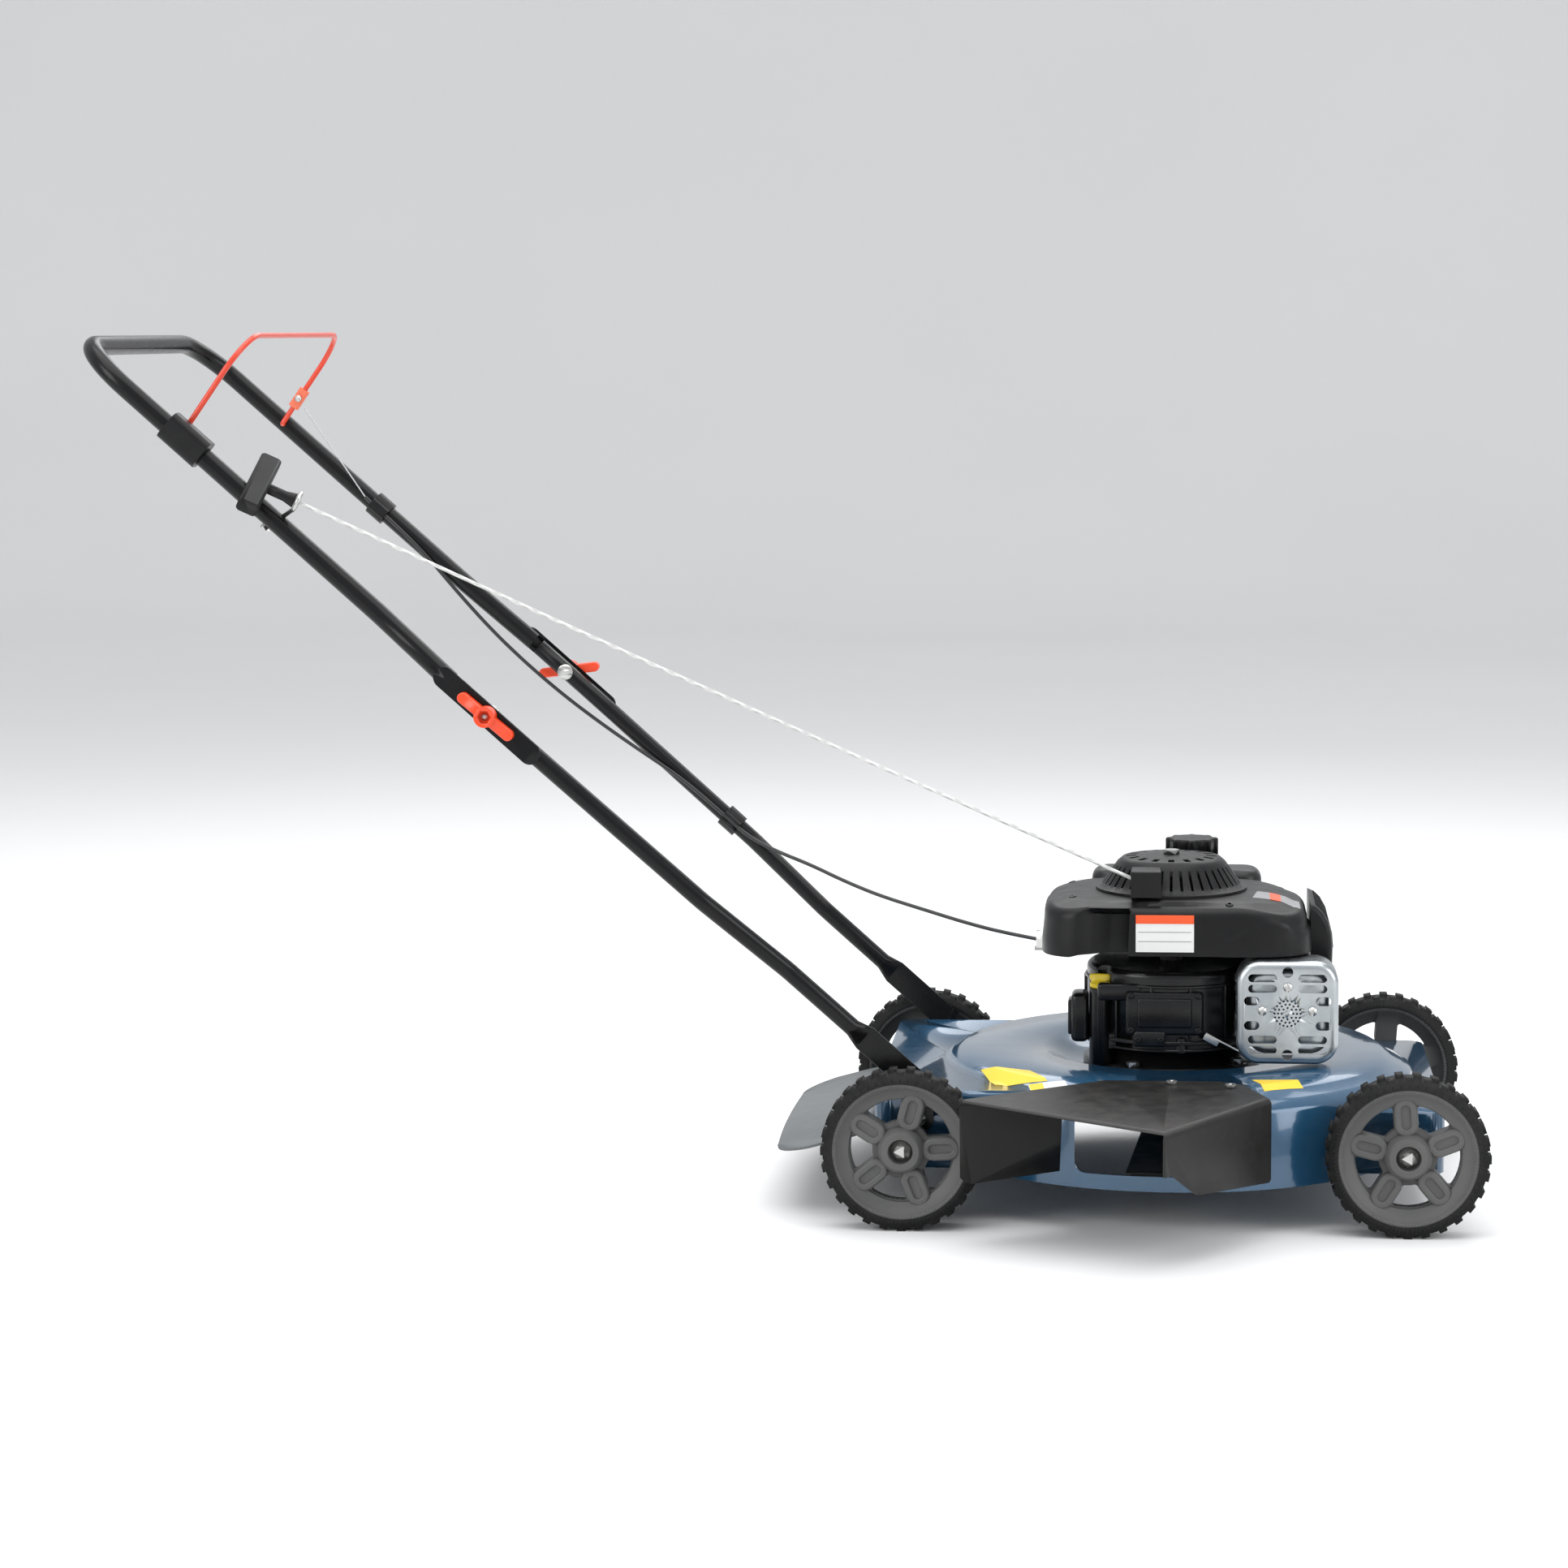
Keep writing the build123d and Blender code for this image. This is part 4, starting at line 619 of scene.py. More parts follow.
def patch(name: str, target: bpy.types.Object, corners: Sequence[Point], aim: Point, finish: Finish, body: str,
          lift: float = 0.0003, steps: int = 14) -> bpy.types.Object:
    """A thin label that follows another piece's surface.

    Args:
        name: the piece's name.
        target: the piece that it is stuck to.
        corners: four drawing points above the surface, in order round the label.
        aim: the direction in which the label is pressed on.
        finish: its finish.
        body: the CAD body that it rides on.
        lift: how far its face stands off the surface, in metres.
        steps: how many cells each way.

    Returns:
        The label, a closed thin slab.
    """
    shape = bmesh.new()
    shape.from_mesh(target.data)
    tree = BVHTree.FromBMesh(shape)
    shape.free()
    a, b, c, d = (place(*corner) for corner in corners)
    down = Vector(aim).normalized()
    skins: list[list[list[Vector]]] = [[], []]
    for row in range(steps + 1):
        v = row / steps
        lines: list[list[Vector]] = [[], []]
        for column in range(steps + 1):
            u = column / steps
            spot = a.lerp(b, u).lerp(d.lerp(c, u), v)
            hit, normal, _, _ = tree.ray_cast(spot - down * 0.05, down)
            if hit is None:
                hit, normal = spot, -down
            if normal.dot(down) > 0:
                normal = -normal
            lines[0].append(hit + normal * lift)
            lines[1].append(hit - normal * LABEL_SINK)
        skins[0].append(lines[0])
        skins[1].append(lines[1])
    rows = [skins[1][0]] + skins[0] + [skins[1][-1]]
    sheet = rows_to_shell(rows, False, False)
    under = rows_to_shell(skins[1], False, False)
    mesh = bpy.data.meshes.new(name)
    under.to_mesh(mesh)
    sheet.from_mesh(mesh)
    bmesh.ops.remove_doubles(sheet, verts=sheet.verts, dist=MERGE)
    bmesh.ops.holes_fill(sheet, edges=sheet.edges, sides=0)
    bmesh.ops.recalc_face_normals(sheet, faces=sheet.faces)
    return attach(new_object(name, sheet, finish, 40.0), body)


# ---------------------------------------------------------------- cords
@dataclass
class Cord:
    """A flexible line of fixed length that crosses a joint: a smooth curve through its route, swept into a tube."""

    name: str
    node: str
    finish: Finish
    route: Sequence[Point]
    diameter: float
    length: float
    bodies: tuple[str, str]
    start: Point
    end: Point
    stiffness: str
    lay: str
    sides: int = 12
    pitch: float = 0.012

    def line(self) -> list[Vector]:
        """The points of the route's NURBS spline."""
        curve = bpy.data.curves.new(f"{self.name}_route", "CURVE")
        curve.dimensions = "3D"
        curve.resolution_u = 12
        spline = curve.splines.new("NURBS")
        spline.points.add(len(self.route) - 1)
        for knot, spot in zip(spline.points, self.route):
            knot.co = (*place(*spot), 1.0)
        spline.order_u = 3
        spline.use_endpoint_u = True
        carrier = bpy.data.objects.new(f"{self.name}_route", curve)
        bpy.context.scene.collection.objects.link(carrier)
        graph = bpy.context.evaluated_depsgraph_get()
        mesh = bpy.data.meshes.new_from_object(carrier.evaluated_get(graph))
        points = [v.co.copy() for v in mesh.vertices]
        bpy.data.objects.remove(carrier)
        return points

    def build(self) -> bpy.types.Object:
        """Returns:
            The cord's mesh object.
        """
        points = self.line()
        made = new_object(self.name, tube(points, self.diameter / 2, self.sides, self.pitch), self.finish, 60.0)
        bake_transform(made)
        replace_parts(made, self.node)
        return made


def tube(points: Sequence[Vector], radius: float, sides: int, pitch: float) -> bmesh.types.BMesh:
    """A round tube along points with closed ends and a UV map that turns once around and counts pitches along.

    Args:
        points: the line that it follows.
        radius: the tube's radius.
        sides: how many cells go round.
        pitch: the length of one turn of the lay.

    Returns:
        The tube.
    """
    shape = bmesh.new()
    lay = shape.loops.layers.uv.new("Lay")
    across = (points[1] - points[0]).normalized().orthogonal().normalized()
    circle = [(math.cos(math.tau * k / sides), math.sin(math.tau * k / sides)) for k in range(sides)]
    rings, runs, travelled = [], [], 0.0
    for number, spot in enumerate(points):
        before, after = points[max(number - 1, 0)], points[min(number + 1, len(points) - 1)]
        along = (after - before).normalized()
        across = (across - along * across.dot(along)).normalized()
        other = along.cross(across)
        travelled += (spot - before).length
        runs.append(travelled / pitch)
        rings.append([shape.verts.new(spot + radius * (c * across + s * other)) for c, s in circle])
    for number in range(len(rings) - 1):
        for k in range(sides):
            turn = (k + 1) % sides
            face = shape.faces.new(
                (rings[number][k], rings[number][turn], rings[number + 1][turn], rings[number + 1][k]))
            for loop, (u, v) in zip(face.loops, ((k, number), (k + 1, number), (k + 1, number + 1), (k, number + 1))):
                loop[lay].uv = (u / sides, runs[v])
    shape.faces.new(rings[0][::-1])
    shape.faces.new(rings[-1])
    bmesh.ops.recalc_face_normals(shape, faces=shape.faces)
    return shape


# ---------------------------------------------------------------- sub-assemblies
@dataclass
class SubAssembly:
    """A group of pieces that is dressed together: skins for its CAD nodes, and details of its own."""

    title: str = "sub-assembly"
    skins: dict[str, Finish] = field(default_factory=dict)
    dressed: dict[str, bpy.types.Object] = field(default_factory=dict)

    def details(self) -> list[bpy.types.Object]:
        """The pieces that the CAD nodes don't have."""
        return []

    def build(self) -> list[bpy.types.Object]:
        """Builds and reports every piece of the group.

        Returns:
            The pieces.
        """
        self.dressed = {node: smooth_skin(node, finish) for node, finish in self.skins.items()}
        made = list(self.dressed.values()) + self.details()
        for piece in made:
            log.info("%s: %s", self.title, piece.name)
        return made


CORNERS = [(row, hand) for row in ("front", "rear") for hand in ("right", "left")]


@dataclass
class Wheels(SubAssembly):
    """Four lugged wheels on shoulder bolts."""

    title: str = "wheels"
    skins: dict[str, Finish] = field(
        default_factory=lambda: {
            **{f"tyre_{row}_{hand}": TYRE for row, hand in CORNERS},
            **{f"hub_{row}_{hand}": HUB for row, hand in CORNERS}, "wheel_bolts": ZINC})
    rib_count: int = 56
    rib_radius: float = 0.0806
    mid_plane: float = 0.2495
    spokes: int = 5
    spoke_radius: float = 0.0442
    first_spoke: dict[str, float] = field(default_factory=lambda: {"front": 22.0, "rear": 3.0})

    def details(self) -> list[bpy.types.Object]:
        """Radial ribs on the tyres' outer walls, and raised spokes, a cone and a collar on the hubs."""
        made = []
        for row, hand in CORNERS:
            low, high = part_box(f"tyre_{row}_{hand}")
            outward = Vector((0, -1 if hand == "right" else 1, 0))
            wall = (low + high) / 2
            wall.y = low.y if hand == "right" else high.y
            rib = block((0.0042, 0.0011, 0.0012), 0.0003, 1)
            made.append(
                Repeater(Pattern.RING).make(
                    f"tyre_{row}_{hand}_ribs", rib, TYRE, [facing(wall - outward * 0.0001, outward)],
                    f"wheel_{row}_{hand}", count=self.rib_count, radius=self.rib_radius))
            centre = (low + high) / 2
            centre.y = math.copysign(self.mid_plane, -1 if hand == "right" else 1) + CRANK[1]
            wheel = facing(centre, outward)
            made.append(
                Repeater(Pattern.RING).make(
                    f"hub_{row}_{hand}_spokes", self.spoke_pad(), HUB,
                    [wheel @ Matrix.Rotation(math.radians(self.first_spoke[row]), 4, "Z")], f"wheel_{row}_{hand}",
                    count=self.spokes, radius=self.spoke_radius))
            cone = ring_rows(
                [
                    (0.0745, 0.0194), (0.0732, 0.0203), (0.0715, 0.0199), (0.0702, 0.0178), (0.061, 0.0124),
                    (0.0585, 0.0112), (0.0578, 0.0098), (0.0578, 0.0068), (0.0745, 0.0068)])
            cone.transform(wheel)
            made.append(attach(new_object(f"hub_{row}_{hand}_cone", cone, HUB), f"wheel_{row}_{hand}"))
            collar = ring_rows(
                [
                    (0.0136, 0.0214), (0.0146, 0.0222), (0.0205, 0.0218), (0.0226, 0.0196), (0.0262, 0.0124),
                    (0.0268, 0.0068), (0.0218, 0.0068), (0.0218, 0.0208)],
                48)
            collar.transform(wheel)
            made.append(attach(new_object(f"hub_{row}_{hand}_collar", collar, HUB), f"wheel_{row}_{hand}"))
        return made

    def spoke_pad(self) -> bmesh.types.BMesh:
        """One raised spoke: a rounded pad with a long dished recess."""
        half = (0.0222, 0.0136)
        rows = [
            stadium(*half, 0.0, 0.0064), stadium(*half, 0.0004, 0.0112), stadium(*half, 0.0014, 0.0136),
            stadium(*half, 0.003, 0.0146), stadium(*half, 0.0072, 0.0146), stadium(*half, 0.0084, 0.0138),
            stadium(*half, 0.0094, 0.0112), stadium(*half, 0.011, 0.0108)]
        return loft(rows)


@dataclass
class Deck(SubAssembly):
    """The pressed deck with its chute, rear flap and labels."""

    title: str = "deck"
    skins: dict[str, Finish] = field(
        default_factory=lambda: {
            "deck_shell": DECK_BLUE, "engine_base": CASTING, "chute": CHUTE, "chute_screws": ZINC, "flap_rod": ZINC,
            "rear_flap": FLAP, "blade": STEEL, "blade_adapter": STEEL, "blade_bolt": ZINC})

    def details(self) -> list[bpy.types.Object]:
        """Plain coloured labels where the maker sticks notices."""
        shell = self.dressed["deck_shell"]
        down = (0.0, 0.0, -1.0)
        return [
            patch(
                "notice_yellow_wide", shell,
                [(-214, -130, 165), (-157, -160, 165), (-136, -204, 165), (-196, -182, 165)], down, LABEL_YELLOW,
                "deck"),
            patch(
                "notice_white", shell, [(-158, -199, 165), (-116, -212, 165), (-108, -236, 165), (-150, -226, 165)],
                down, LABEL_WHITE, "deck"),
            patch(
                "notice_yellow_corner", shell,
                [(-157, -200, 165), (-141, -205, 165), (-137, -226, 165), (-150, -225, 165)], down, LABEL_YELLOW,
                "deck", 0.0006),
            patch(
                "notice_yellow_small", shell, [(90, -198, 165), (140, -194, 165), (146, -206, 165), (103, -229, 165)],
                down, LABEL_YELLOW, "deck")]


@dataclass
class Engine(SubAssembly):
    """The pull-start engine with its shroud, tank, air filter and guarded muffler."""

    title: str = "engine"
    skins: dict[str, Finish] = field(
        default_factory=lambda: {
            "engine_bolts": ZINC, "crankcase": CASTING, "cylinder_head": CASTING, "spark_plug": PLASTIC,
            "oil_tube": CASTING, "starter_cover": PLASTIC, "starter_bolt": ZINC, "recoil_pulley": PLASTIC,
            "fuel_tank": TANK, "fuel_cap": PLASTIC, "carburettor": PLASTIC, "muffler": GALVANISED,
            "muffler_guard": GALVANISED, "guard_screws": ZINC, "crankshaft": STEEL, "flywheel": ALLOY,
            "brake_bracket": ZINC, "rope_nozzle": PLASTIC})

    middle: tuple[float, float] = (5.75, -13.0)
    half: tuple[float, float] = (152.25, 105.0)
    squareness: float = 4.6
    top: float = 345.0
    cover_radius: float = 82.0
    around: int = 224
    skirt: float = 284.0
    shoulder: float = 14.0
    wall: float = 2.5

    def shroud_edge(self, x: float, y: float, z: float) -> float:
        """How far the shroud's wall stands out at a place: draft, raised panel and sunk bay, in millimetres.

        Args:
            x: the place along the machine.
            y: the place across it.
            z: its height.

        Returns:
            The distance, negative where the wall is sunk.
        """
        out = 3.0 * ease(z, 330.0, 288.0)
        crease = 304.0 + 20.0 * ease(x, 55.0, 120.0) - 14.0 * ease(x, 126.0, 150.0)
        if y < 0:
            out += 3.2 * ease(crease - z, -1.5, 2.5) * ease(x, 48.0, 66.0)
            out += 2.0 * ease(x, -104.0, -108.0)
            out -= 34.0 * ease(x, -103.0, -97.0) * ease(x, -49.0, -56.0) * ease(z, 337.0, 330.0)
        else:
            out += 1.5 * ease(z, 306.0, 302.0)
        return out - 4.0

    def outline(self, c: float, s: float) -> float:
        """The shroud's reach from its middle, a rounded rectangle's, in millimetres.

        Args:
            c: the direction's share along the machine.
            s: its share across it.

        Returns:
            The reach.
        """
        power = self.squareness
        return (abs(c / self.half[0]) ** power + abs(s / self.half[1]) ** power) ** (-1 / power)

    def shroud_fall(self, x: float, y: float) -> float:
        """How far the shroud's top falls below its middle, in millimetres.

        Args:
            x: the place along the machine.
            y: the place across it.

        Returns:
            The fall.
        """
        radius = math.hypot(x, y)
        fall = 6.0 * ease(-y, 60.0, 118.0) + 11.0 * ease(x, 84.0, 160.0) + 5.0 * ease(-x, 96.0, 150.0)
        return fall * ease(radius, self.cover_radius + 4, self.cover_radius + 30)

    def shroud(self) -> bpy.types.Object:
        """The moulded shroud round the flywheel: one closed shell with a draft, a sunk bay and a falling top.

        Returns:
            The shroud, which stands for its CAD node.
        """
        rows: list[list[Vector]] = []
        shoulder = [
            (self.shoulder * (1 - math.cos(a)), self.shoulder * math.sin(a))
            for a in [math.radians(15 * k) for k in range(1, 7)]]
        stages: list[tuple[str, float]] = [("side", k / 9) for k in range(10)]
        stages += [("turn", k) for k in range(6)]
        stages += [("top", k / 6) for k in range(1, 7)]
        for inner in (False, True):
            skin = self.wall if inner else 0.0
            block_rows: list[list[Vector]] = []
            for kind, share in stages:
                line = []
                for step in range(self.around):
                    angle = math.tau * step / self.around
                    c, s = math.cos(angle), math.sin(angle)
                    reach = self.outline(c, s)
                    x, y = self.middle[0] + reach * c, self.middle[1] + reach * s
                    low = self.skirt - 3.0 * ease(-x, 104.0, 116.0) * ease(-y, -10.0, 30.0)
                    fall = self.shroud_fall(x, y)
                    high = self.top - fall - self.shoulder
                    if kind == "side":
                        z = low + (high - low) * share
                        inset = 0.0
                    elif kind == "turn":
                        inset, rise = shoulder[int(share)]
                        z = high + rise
                    else:
                        inset, z = self.shoulder, self.top - fall
                    r = reach + self.shroud_edge(x, y, z) - inset
                    if kind == "top":
                        edge = Vector((self.middle[0] + r * c, self.middle[1] + r * s))
                        ring = edge.normalized() * self.cover_radius
                        spot = edge.lerp(ring, share)
                        sunk = self.shroud_fall(spot.x, spot.y) * (1 - share)
                        line.append(place(spot.x, spot.y, self.top - sunk - skin))
                    else:
                        line.append(
                            place(
                                self.middle[0] + (r - skin) * c, self.middle[1] + (r - skin) * s,
                                z - (skin if kind == "turn" else 0)))
                block_rows.append(line)
            rows += block_rows[::-1] if inner else block_rows
        made = new_object("shroud", rows_to_shell(rows, True, True), PLASTIC, 38.0)
        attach(made, "deck")
        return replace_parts(made, "blower_housing")

    def details(self) -> list[bpy.types.Object]:
        """The shroud with its screws and notice, ribs on the drum and the filter, and the governor's link."""
        up = Vector((0, 0, 1))
        north = Vector((0, 1, 0))
        shroud = self.shroud()
        made = [shroud]
        skin = bmesh.new()
        skin.from_mesh(shroud.data)
        surface = BVHTree.FromBMesh(skin)
        skin.free()
        seats = []
        for x, y in ((65.6, -98.0), (-112, -66), (-116, 56), (128, 62)):
            spot, normal, _, _ = surface.ray_cast(place(x, y, 400), -up)
            seats.append(facing(spot - normal * 0.0012, normal, north))
        made.append(
            Repeater(Pattern.ROW).make("shroud_screws", screw_head(0.0046, 0.0026, 0.0021), CASTING, seats, "deck"))
        front = (0.0, 1.0, 0.0)
        made.append(
            patch(
                "engine_notice", shroud,
                [(-39.5, -119, 330), (25.8, -119, 330), (25.8, -119, 289), (-39.5, -119, 289)], front, LABEL_WHITE,
                "deck"))
        made.append(
            patch(
                "engine_notice_header", shroud,
                [(-39.5, -119, 330.4), (25.8, -119, 330.4), (25.8, -119, 321), (-39.5, -119, 321)], front,
                LABEL_ORANGE, "deck", 0.0006))
        for number, z in enumerate((312.0, 301.5)):
            made.append(
                patch(
                    f"engine_notice_rule_{number}", shroud,
                    [(-37, -119, z), (23, -119, z), (23, -119, z - 0.7), (-37, -119, z - 0.7)], front, LABEL_GREY,
                    "deck", 0.0006, 6))
        down = (0.0, 0.0, -1.0)
        made.append(
            patch(
                "engine_plate", shroud, [(92, -70, 348), (146, -66, 348), (146, -22, 348), (98, -22, 348)], down,
                LABEL_GREY, "deck"))
        made.append(
            patch(
                "engine_plate_band", shroud, [(112, -68.6, 348), (124, -67.6, 348), (124, -24, 348), (112, -24, 348)],
                down, LABEL_ORANGE, "deck", 0.0006))
        rib = block((0.006, 0.003, 0.066), 0.001)
        made.append(
            Repeater(Pattern.RING).make(
                "drum_ribs", rib, CASTING, [Matrix.Translation(place(0, 0, 212))], "deck", count=14, radius=0.0972))
        boss = turned([(0, -0.004), (0.0085, -0.004), (0.0075, 0.012), (0.005, 0.014), (0, 0.014)], 20)
        made.append(
            Repeater(Pattern.RING).make(
                "flange_bosses", boss, CASTING,
                [Matrix.Translation(place(0, 0, 174)) @ Matrix.Rotation(0.35, 4, "Z")], "deck", count=7, radius=0.0925
            ))
        made += self.filter_cover() + [self.oil_cap()] + self.castings()
        link = tube(
            [place(*p) for p in ((38, -96, 190), (46, -97.5, 188), (60, -99, 182), (74, -101, 175), (84, -104, 171))],
            0.0014, 12, 0.01)
        made.append(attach(new_object("governor_link", link, ZINC), "deck"))
        arm = block((0.018, 0.0016, 0.0085), 0.0006)
        arm.transform(Matrix.Translation(place(46, -98.5, 186)) @ Matrix.Rotation(0.5, 4, "Y"))
        made.append(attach(new_object("governor_arm", arm, ZINC), "deck"))
        return made

    def filter_cover(self) -> list[bpy.types.Object]:
        """The air filter's rounded cover with upright ribs over its face."""
        low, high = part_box("air_filter_cover")
        front = [
            (158.4, 263.0), (181.5, 262.6), (183.6, 265.0), (184.0, 282.0), (182.6, 298.0), (178.6, 313.0),
            (172.0, 324.5), (164.0, 332.0), (158.4, 334.5)]
        span = high.y - low.y
        middle = Vector((place(158.4, 0, 0).x, (low.y + high.y) / 2, place(0, 0, 290).z))
        rows = []
        for share, pull in (
            (-0.5, 0.8), (-0.495, 0.88), (-0.478, 0.95), (-0.45, 0.985), (-0.41, 1.0), (0.41, 1.0), (0.45, 0.985),
            (0.478, 0.95), (0.495, 0.88), (0.5, 0.8)):
            row = []
            for x, z in front:
                spot = place(x, 0, z)
                row.append(
                    Vector(
                        (
                            middle.x + (spot.x - middle.x) * pull, middle.y + share * span,
                            middle.z + (spot.z - middle.z) * pull)))
            rows.append(row)
        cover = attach(new_object("filter_cover", loft(rows), PLASTIC, 40.0), "deck")
        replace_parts(cover, "air_filter_cover")
        proud = [place(x + 0.9 * ease(x, 158.0, 164.0), 0, z + 0.9 * ease(z, 300.0, 330.0)) for x, z in front[3:8]]
        rib_rows = [
            [
                Vector((spot.x - back, middle.y + side, spot.z - back)) for side,
                back in (
                    (-0.0011, 0.003), (-0.0011, 0.0003), (-0.0006, 0.0), (0.0006, 0.0), (0.0011, 0.0003),
                    (0.0011, 0.003))]
            for spot in proud]
        ribs = Repeater(Pattern.ROW).make(
            "filter_ribs", loft(rib_rows), PLASTIC, [Matrix.Translation((0, -0.0495, 0))], "deck", count=10,
            step=(0.0, 0.011, 0.0))
        return [cover, ribs]

    def oil_cap(self) -> bpy.types.Object:
        """The winged filler cap with its dipstick."""
        rows = []
        for height, wide, deep in (
            (0.0, 11.2, 11.2), (1.0, 12.4, 12.4), (4.6, 12.6, 12.6), (6.0, 11.6, 10.6), (7.0, 10.6, 6.4),
            (8.4, 12.2, 4.6), (10.4, 13.2, 4.2), (12.8, 13.3, 4.0), (14.6, 12.4, 3.6), (15.6, 10.2, 2.6),
            (15.9, 6.0, 1.2)):
            row = []
            for k in range(40):
                angle = math.tau * k / 40
                waist = 1.0 - 0.22 * ease(height, 7.0, 10.0) * abs(math.sin(angle)) ** 6
                row.append(
                    Vector((wide * math.cos(angle) / 1000, deep * waist * math.sin(angle) / 1000, height / 1000)))
            rows.append(row)
        cap = loft(rows)
        stick = block((0.005, 0.0016, 0.0756), 0.0003, 1)
        stick.transform(Matrix.Translation((0, 0, -0.0376)))
        mesh = bpy.data.meshes.new("stick")
        stick.to_mesh(mesh)
        cap.from_mesh(mesh)
        cap.transform(Matrix.Translation(place(-80.0, -60.0, 238.4)) @ Matrix.Rotation(-0.2, 4, "Z"))
        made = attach(new_object("oil_filler_cap", cap, OIL_YELLOW, 50.0), "oil_cap")
        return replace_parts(made, "oil_cap")

    def castings(self) -> list[bpy.types.Object]:
        """Cast shapes on the crankcase: seam lips, a raised front panel, the filler's web and the breather box."""
        made = []
        for name, low, high, out in (
            ("seam_lip", 178.0, 183.0, 100.4), ("top_lip", 243.0, 247.0, 99.2), ("base_lip", 170.4, 173.6, 100.8)):
            lip = ring_rows(
                [
                    (0.094, low / 1000), (out / 1000 - 0.001, low / 1000), (out / 1000, low / 1000 + 0.001),
                    (out / 1000, high / 1000 - 0.001), (out / 1000 - 0.001, high / 1000), (0.094, high / 1000)],
                96)
            lip.transform(Matrix.Translation(place(0, 0, 0)))
            made.append(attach(new_object(name, lip, CASTING), "deck"))
        for name, size, spot, soften in (
            ("front_panel", (0.088, 0.016, 0.05), (-7.0, -92.0, 215.0), 0.004),
            ("panel_step", (0.062, 0.016, 0.034), (-7.0, -94.5, 216.0), 0.003),
            ("seam_bridge", (0.036, 0.014, 0.018), (-24.0, -95.5, 186.0), 0.003),
            ("breather_box", (0.02, 0.042, 0.056), (-104.0, -46.0, 203.0), 0.006),
            ("breather_lid", (0.006, 0.03, 0.04), (-114.5, -46.0, 203.0), 0.0025),
            ("filler_web", (0.01, 0.03, 0.05), (-80.0, -32.0, 200.0), 0.003),
            ("coil_box", (0.05, 0.02, 0.02), (-58.0, -82.0, 238.0), 0.004),
            ("side_lug", (0.014, 0.02, 0.03), (-97.0, -20.0, 186.0), 0.003)):
            shape = block(size, soften, 3)
            shape.transform(Matrix.Translation(place(*spot)))
            made.append(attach(new_object(name, shape, CASTING), "deck"))
        bolts = [
            facing(place(x, y, z), Vector((0, -1, 0)), Vector((0, 0, 1))) for x, y,
            z in (
                (-37, -102.0, 186), (-11, -102.0, 186), (31, -99.4, 236), (-45, -99.4, 236), (31, -99.4, 196),
                (-45, -99.4, 196))]
        made.append(
            Repeater(Pattern.ROW).make("panel_bolts", screw_head(0.0042, 0.0034, 0.0018), CASTING, bolts, "deck"))
        return made


@dataclass
class Handle(SubAssembly):
    """The folding handle with its bail, cover, guide, knobs and clips."""

    title: str = "handle"
    skins: dict[str, Finish] = field(
        default_factory=lambda: {
            "upper_handle": TUBE_BLACK, "lower_handle_right": TUBE_BLACK, "lower_handle_left": TUBE_BLACK,
            "handle_bolts": ZINC, "fold_bolts": ZINC, "rope_guide": ZINC, "guide_nut": ZINC, "bail_cover": PLASTIC,
            "bail_wire": BAIL, "bail_clamp": CLAMP, "clamp_screw": ZINC, "knob_right": KNOB, "knob_left": KNOB,
            "upper_cable_clip": PLASTIC, "lower_cable_clip": PLASTIC, "starter_grip": PLASTIC})


ROPE_ROUTE = [(-39.3, -82.6, 365.6), (-502.7, -173.25, 583.6), (-959.1, -262.5, 808.2)]
CABLE_ROUTE = [
    (-990, 235.6, 790), (-958, 235.6, 761), (-915, 237.5, 718), (-878, 242, 672), (-838, 250, 625), (-796, 255, 583),
    (-750, 257, 543), (-702, 256, 507), (-652, 248, 474), (-605, 242, 444), (-562, 238.5, 408), (-520, 235.9, 370.5),
    (-484, 226, 354), (-440, 205, 340.5), (-398, 185, 324), (-352, 163, 309), (-298, 136, 297), (-246, 110, 285.5),
    (-200, 84, 278), (-153, 61, 273.2)]
WIRE_ROUTE = [(-1063.4, 235.6, 899.8), (-1027, 235.6, 845.3), (-990.3, 235.6, 790.9)]


def cords() -> list[Cord]:
    """The starter rope, the engine-stop cable and its bare wire."""
    return [
        Cord(
            "starter_rope_line", "starter_rope", ROPE, ROPE_ROUTE, 0.004, 1.0365, ("deck", "upper_handle"),
            ROPE_ROUTE[0], ROPE_ROUTE[-1], "medium", "taut"),
        Cord(
            "control_cable_line", "control_cable", SHEATH, CABLE_ROUTE[::-1], 0.0045, 1.0548,
            ("deck", "upper_handle"), (-541, 238, 388), (-974, 236, 776), "medium", "loose"),
        Cord(
            "brake_wire_line", "brake_wire", WIRE, WIRE_ROUTE[::-1], 0.0016, 0.1312, ("upper_handle", "bail"),
            WIRE_ROUTE[-1], WIRE_ROUTE[0], "stiff", "taut", 8),]


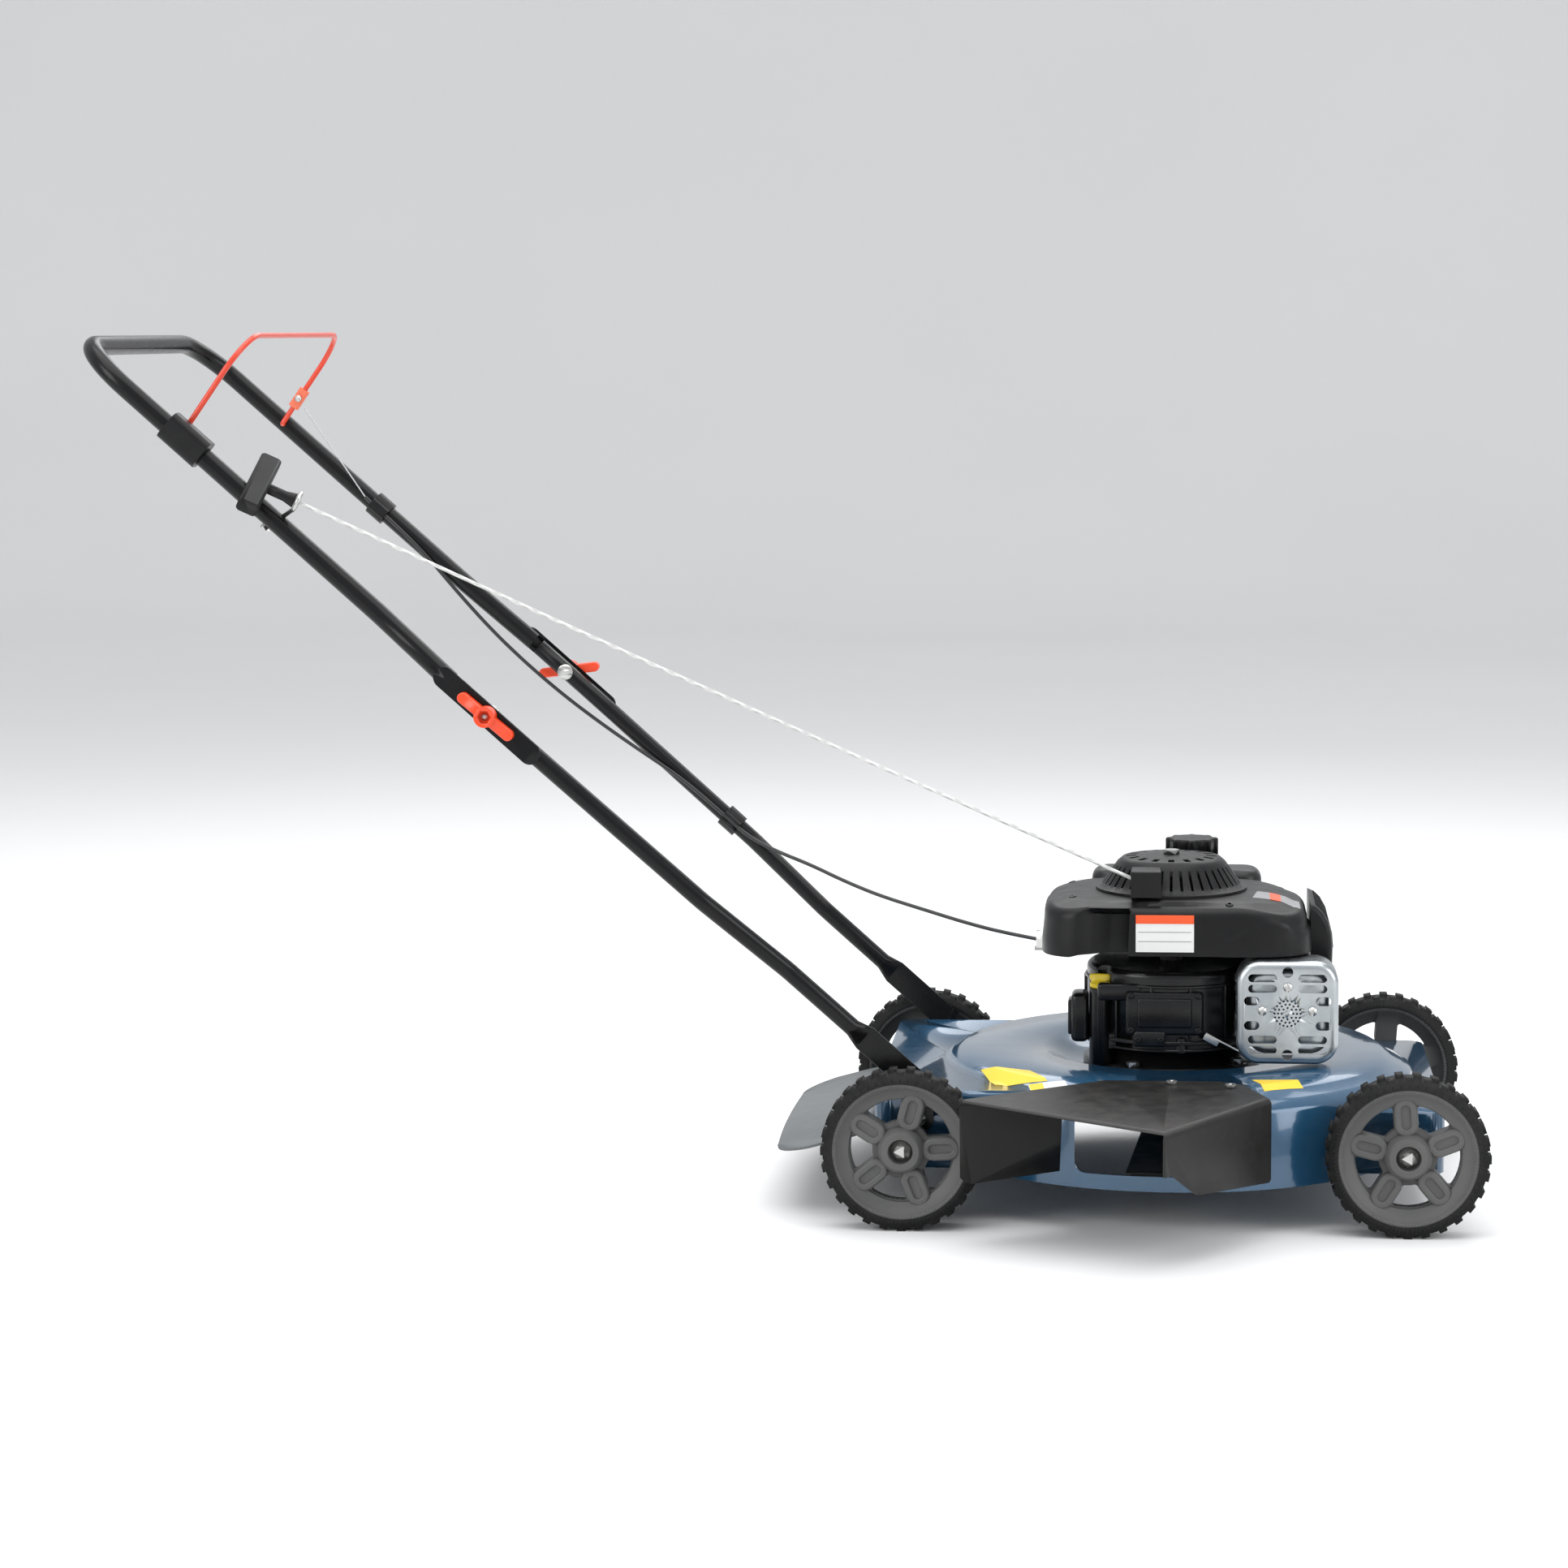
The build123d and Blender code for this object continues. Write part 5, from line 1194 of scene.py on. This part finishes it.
# ---------------------------------------------------------------- studio
@dataclass
class Studio:
    """A pale floor that curves up behind, soft lamps and the camera."""

    camera_spot: Point = (0.43925, -4.21285, 0.986)
    yaw: float = 0.1058
    pitch: float = -0.12025
    roll: float = -0.0093
    lens: float = 85.6458

    def floor(self) -> None:
        """A pale sweep: floor, curve and backdrop in one sheet."""
        shape = bmesh.new()
        profile = [(-30.0, 0.0), (8.0, 0.0)] + [(8.0 + 3.0 * math.sin(a), 3.0 - 3.0 * math.cos(a)) for a in
                                                [math.radians(9 * k) for k in range(1, 11)]] + [(11.0, 12.0)]
        rows = [[shape.verts.new((x, y, z)) for x in (-30.0, 30.0)] for y, z in profile]
        for low, high in zip(rows, rows[1:]):
            shape.faces.new((low[0], low[1], high[1], high[0]))
        sweep = Finish(
            "studio_sweep", "rope_white", (0.86, 0.86, 0.855), (0.84, 0.84, 0.835), Grain.ENAMEL, (0.75, 0.85),
            mottle=0.6)
        mesh = bpy.data.meshes.new("studio_floor")
        shape.to_mesh(mesh)
        shape.free()
        mesh.materials.append(sweep.material())
        for face in mesh.polygons:
            face.use_smooth = True
        made = bpy.data.objects.new("studio_floor", mesh)
        bpy.context.scene.collection.objects.link(made)

    def lamp(self, name: str, spot: Point, target: Point, size: tuple[float, float], power: float) -> None:
        """A rectangular area lamp at spot that faces target.

        Args:
            name: the lamp's name.
            spot: where it hangs.
            target: where it points.
            size: its width and height.
            power: its power in watts.
        """
        data = bpy.data.lights.new(name, "AREA")
        data.shape = "RECTANGLE"
        data.size, data.size_y = size
        data.energy = power
        made = bpy.data.objects.new(name, data)
        made.matrix_world = facing(Vector(spot), Vector(spot) - Vector(target))
        made.visible_camera = False
        bpy.context.scene.collection.objects.link(made)

    def build(self) -> None:
        """Puts up the floor, the lamps, the surrounding light and the camera."""
        self.floor()
        self.lamp("overhead_box", (0.0, -0.3, 3.6), (0.0, 0.0, 0.2), (4.2, 3.4), 95.0)
        self.lamp("left_box", (-3.4, -3.0, 2.2), (0.0, 0.0, 0.4), (2.4, 2.6), 75.0)
        self.lamp("right_box", (3.6, -1.6, 1.8), (0.2, 0.0, 0.3), (1.8, 2.4), 45.0)
        self.lamp("back_box", (0.4, 2.4, 2.6), (0.0, 0.0, 0.3), (3.2, 1.6), 40.0)
        world = bpy.data.worlds.new("surround")
        world.use_nodes = True
        world.node_tree.nodes["Background"].inputs[0].default_value = (0.95, 0.97, 1.0, 1.0)
        world.node_tree.nodes["Background"].inputs[1].default_value = 0.75
        bpy.context.scene.world = world
        bpy.context.scene.view_settings.view_transform = "Standard"
        data = bpy.data.cameras.new("studio_camera")
        data.lens = self.lens
        data.clip_end = 60.0
        made = bpy.data.objects.new("studio_camera", data)
        ahead = Vector(
            (
                -math.sin(self.yaw) * math.cos(self.pitch), math.cos(self.yaw) * math.cos(self.pitch),
                math.sin(self.pitch)))
        made.matrix_world = facing(Vector(self.camera_spot), -ahead) @ Matrix.Rotation(self.roll, 4, "Z")
        bpy.context.scene.collection.objects.link(made)
        bpy.context.scene.camera = made


def main() -> None:
    """Builds the machine group by group, then the studio."""
    logging.basicConfig(level=logging.INFO, format="%(name)s %(message)s")
    for group in (Wheels(), Deck(), Engine(), Handle()):
        group.build()
    for line in cords():
        log.info("cord: %s", line.build().name)
    Studio().build()


if __name__ == "__main__":
    main()
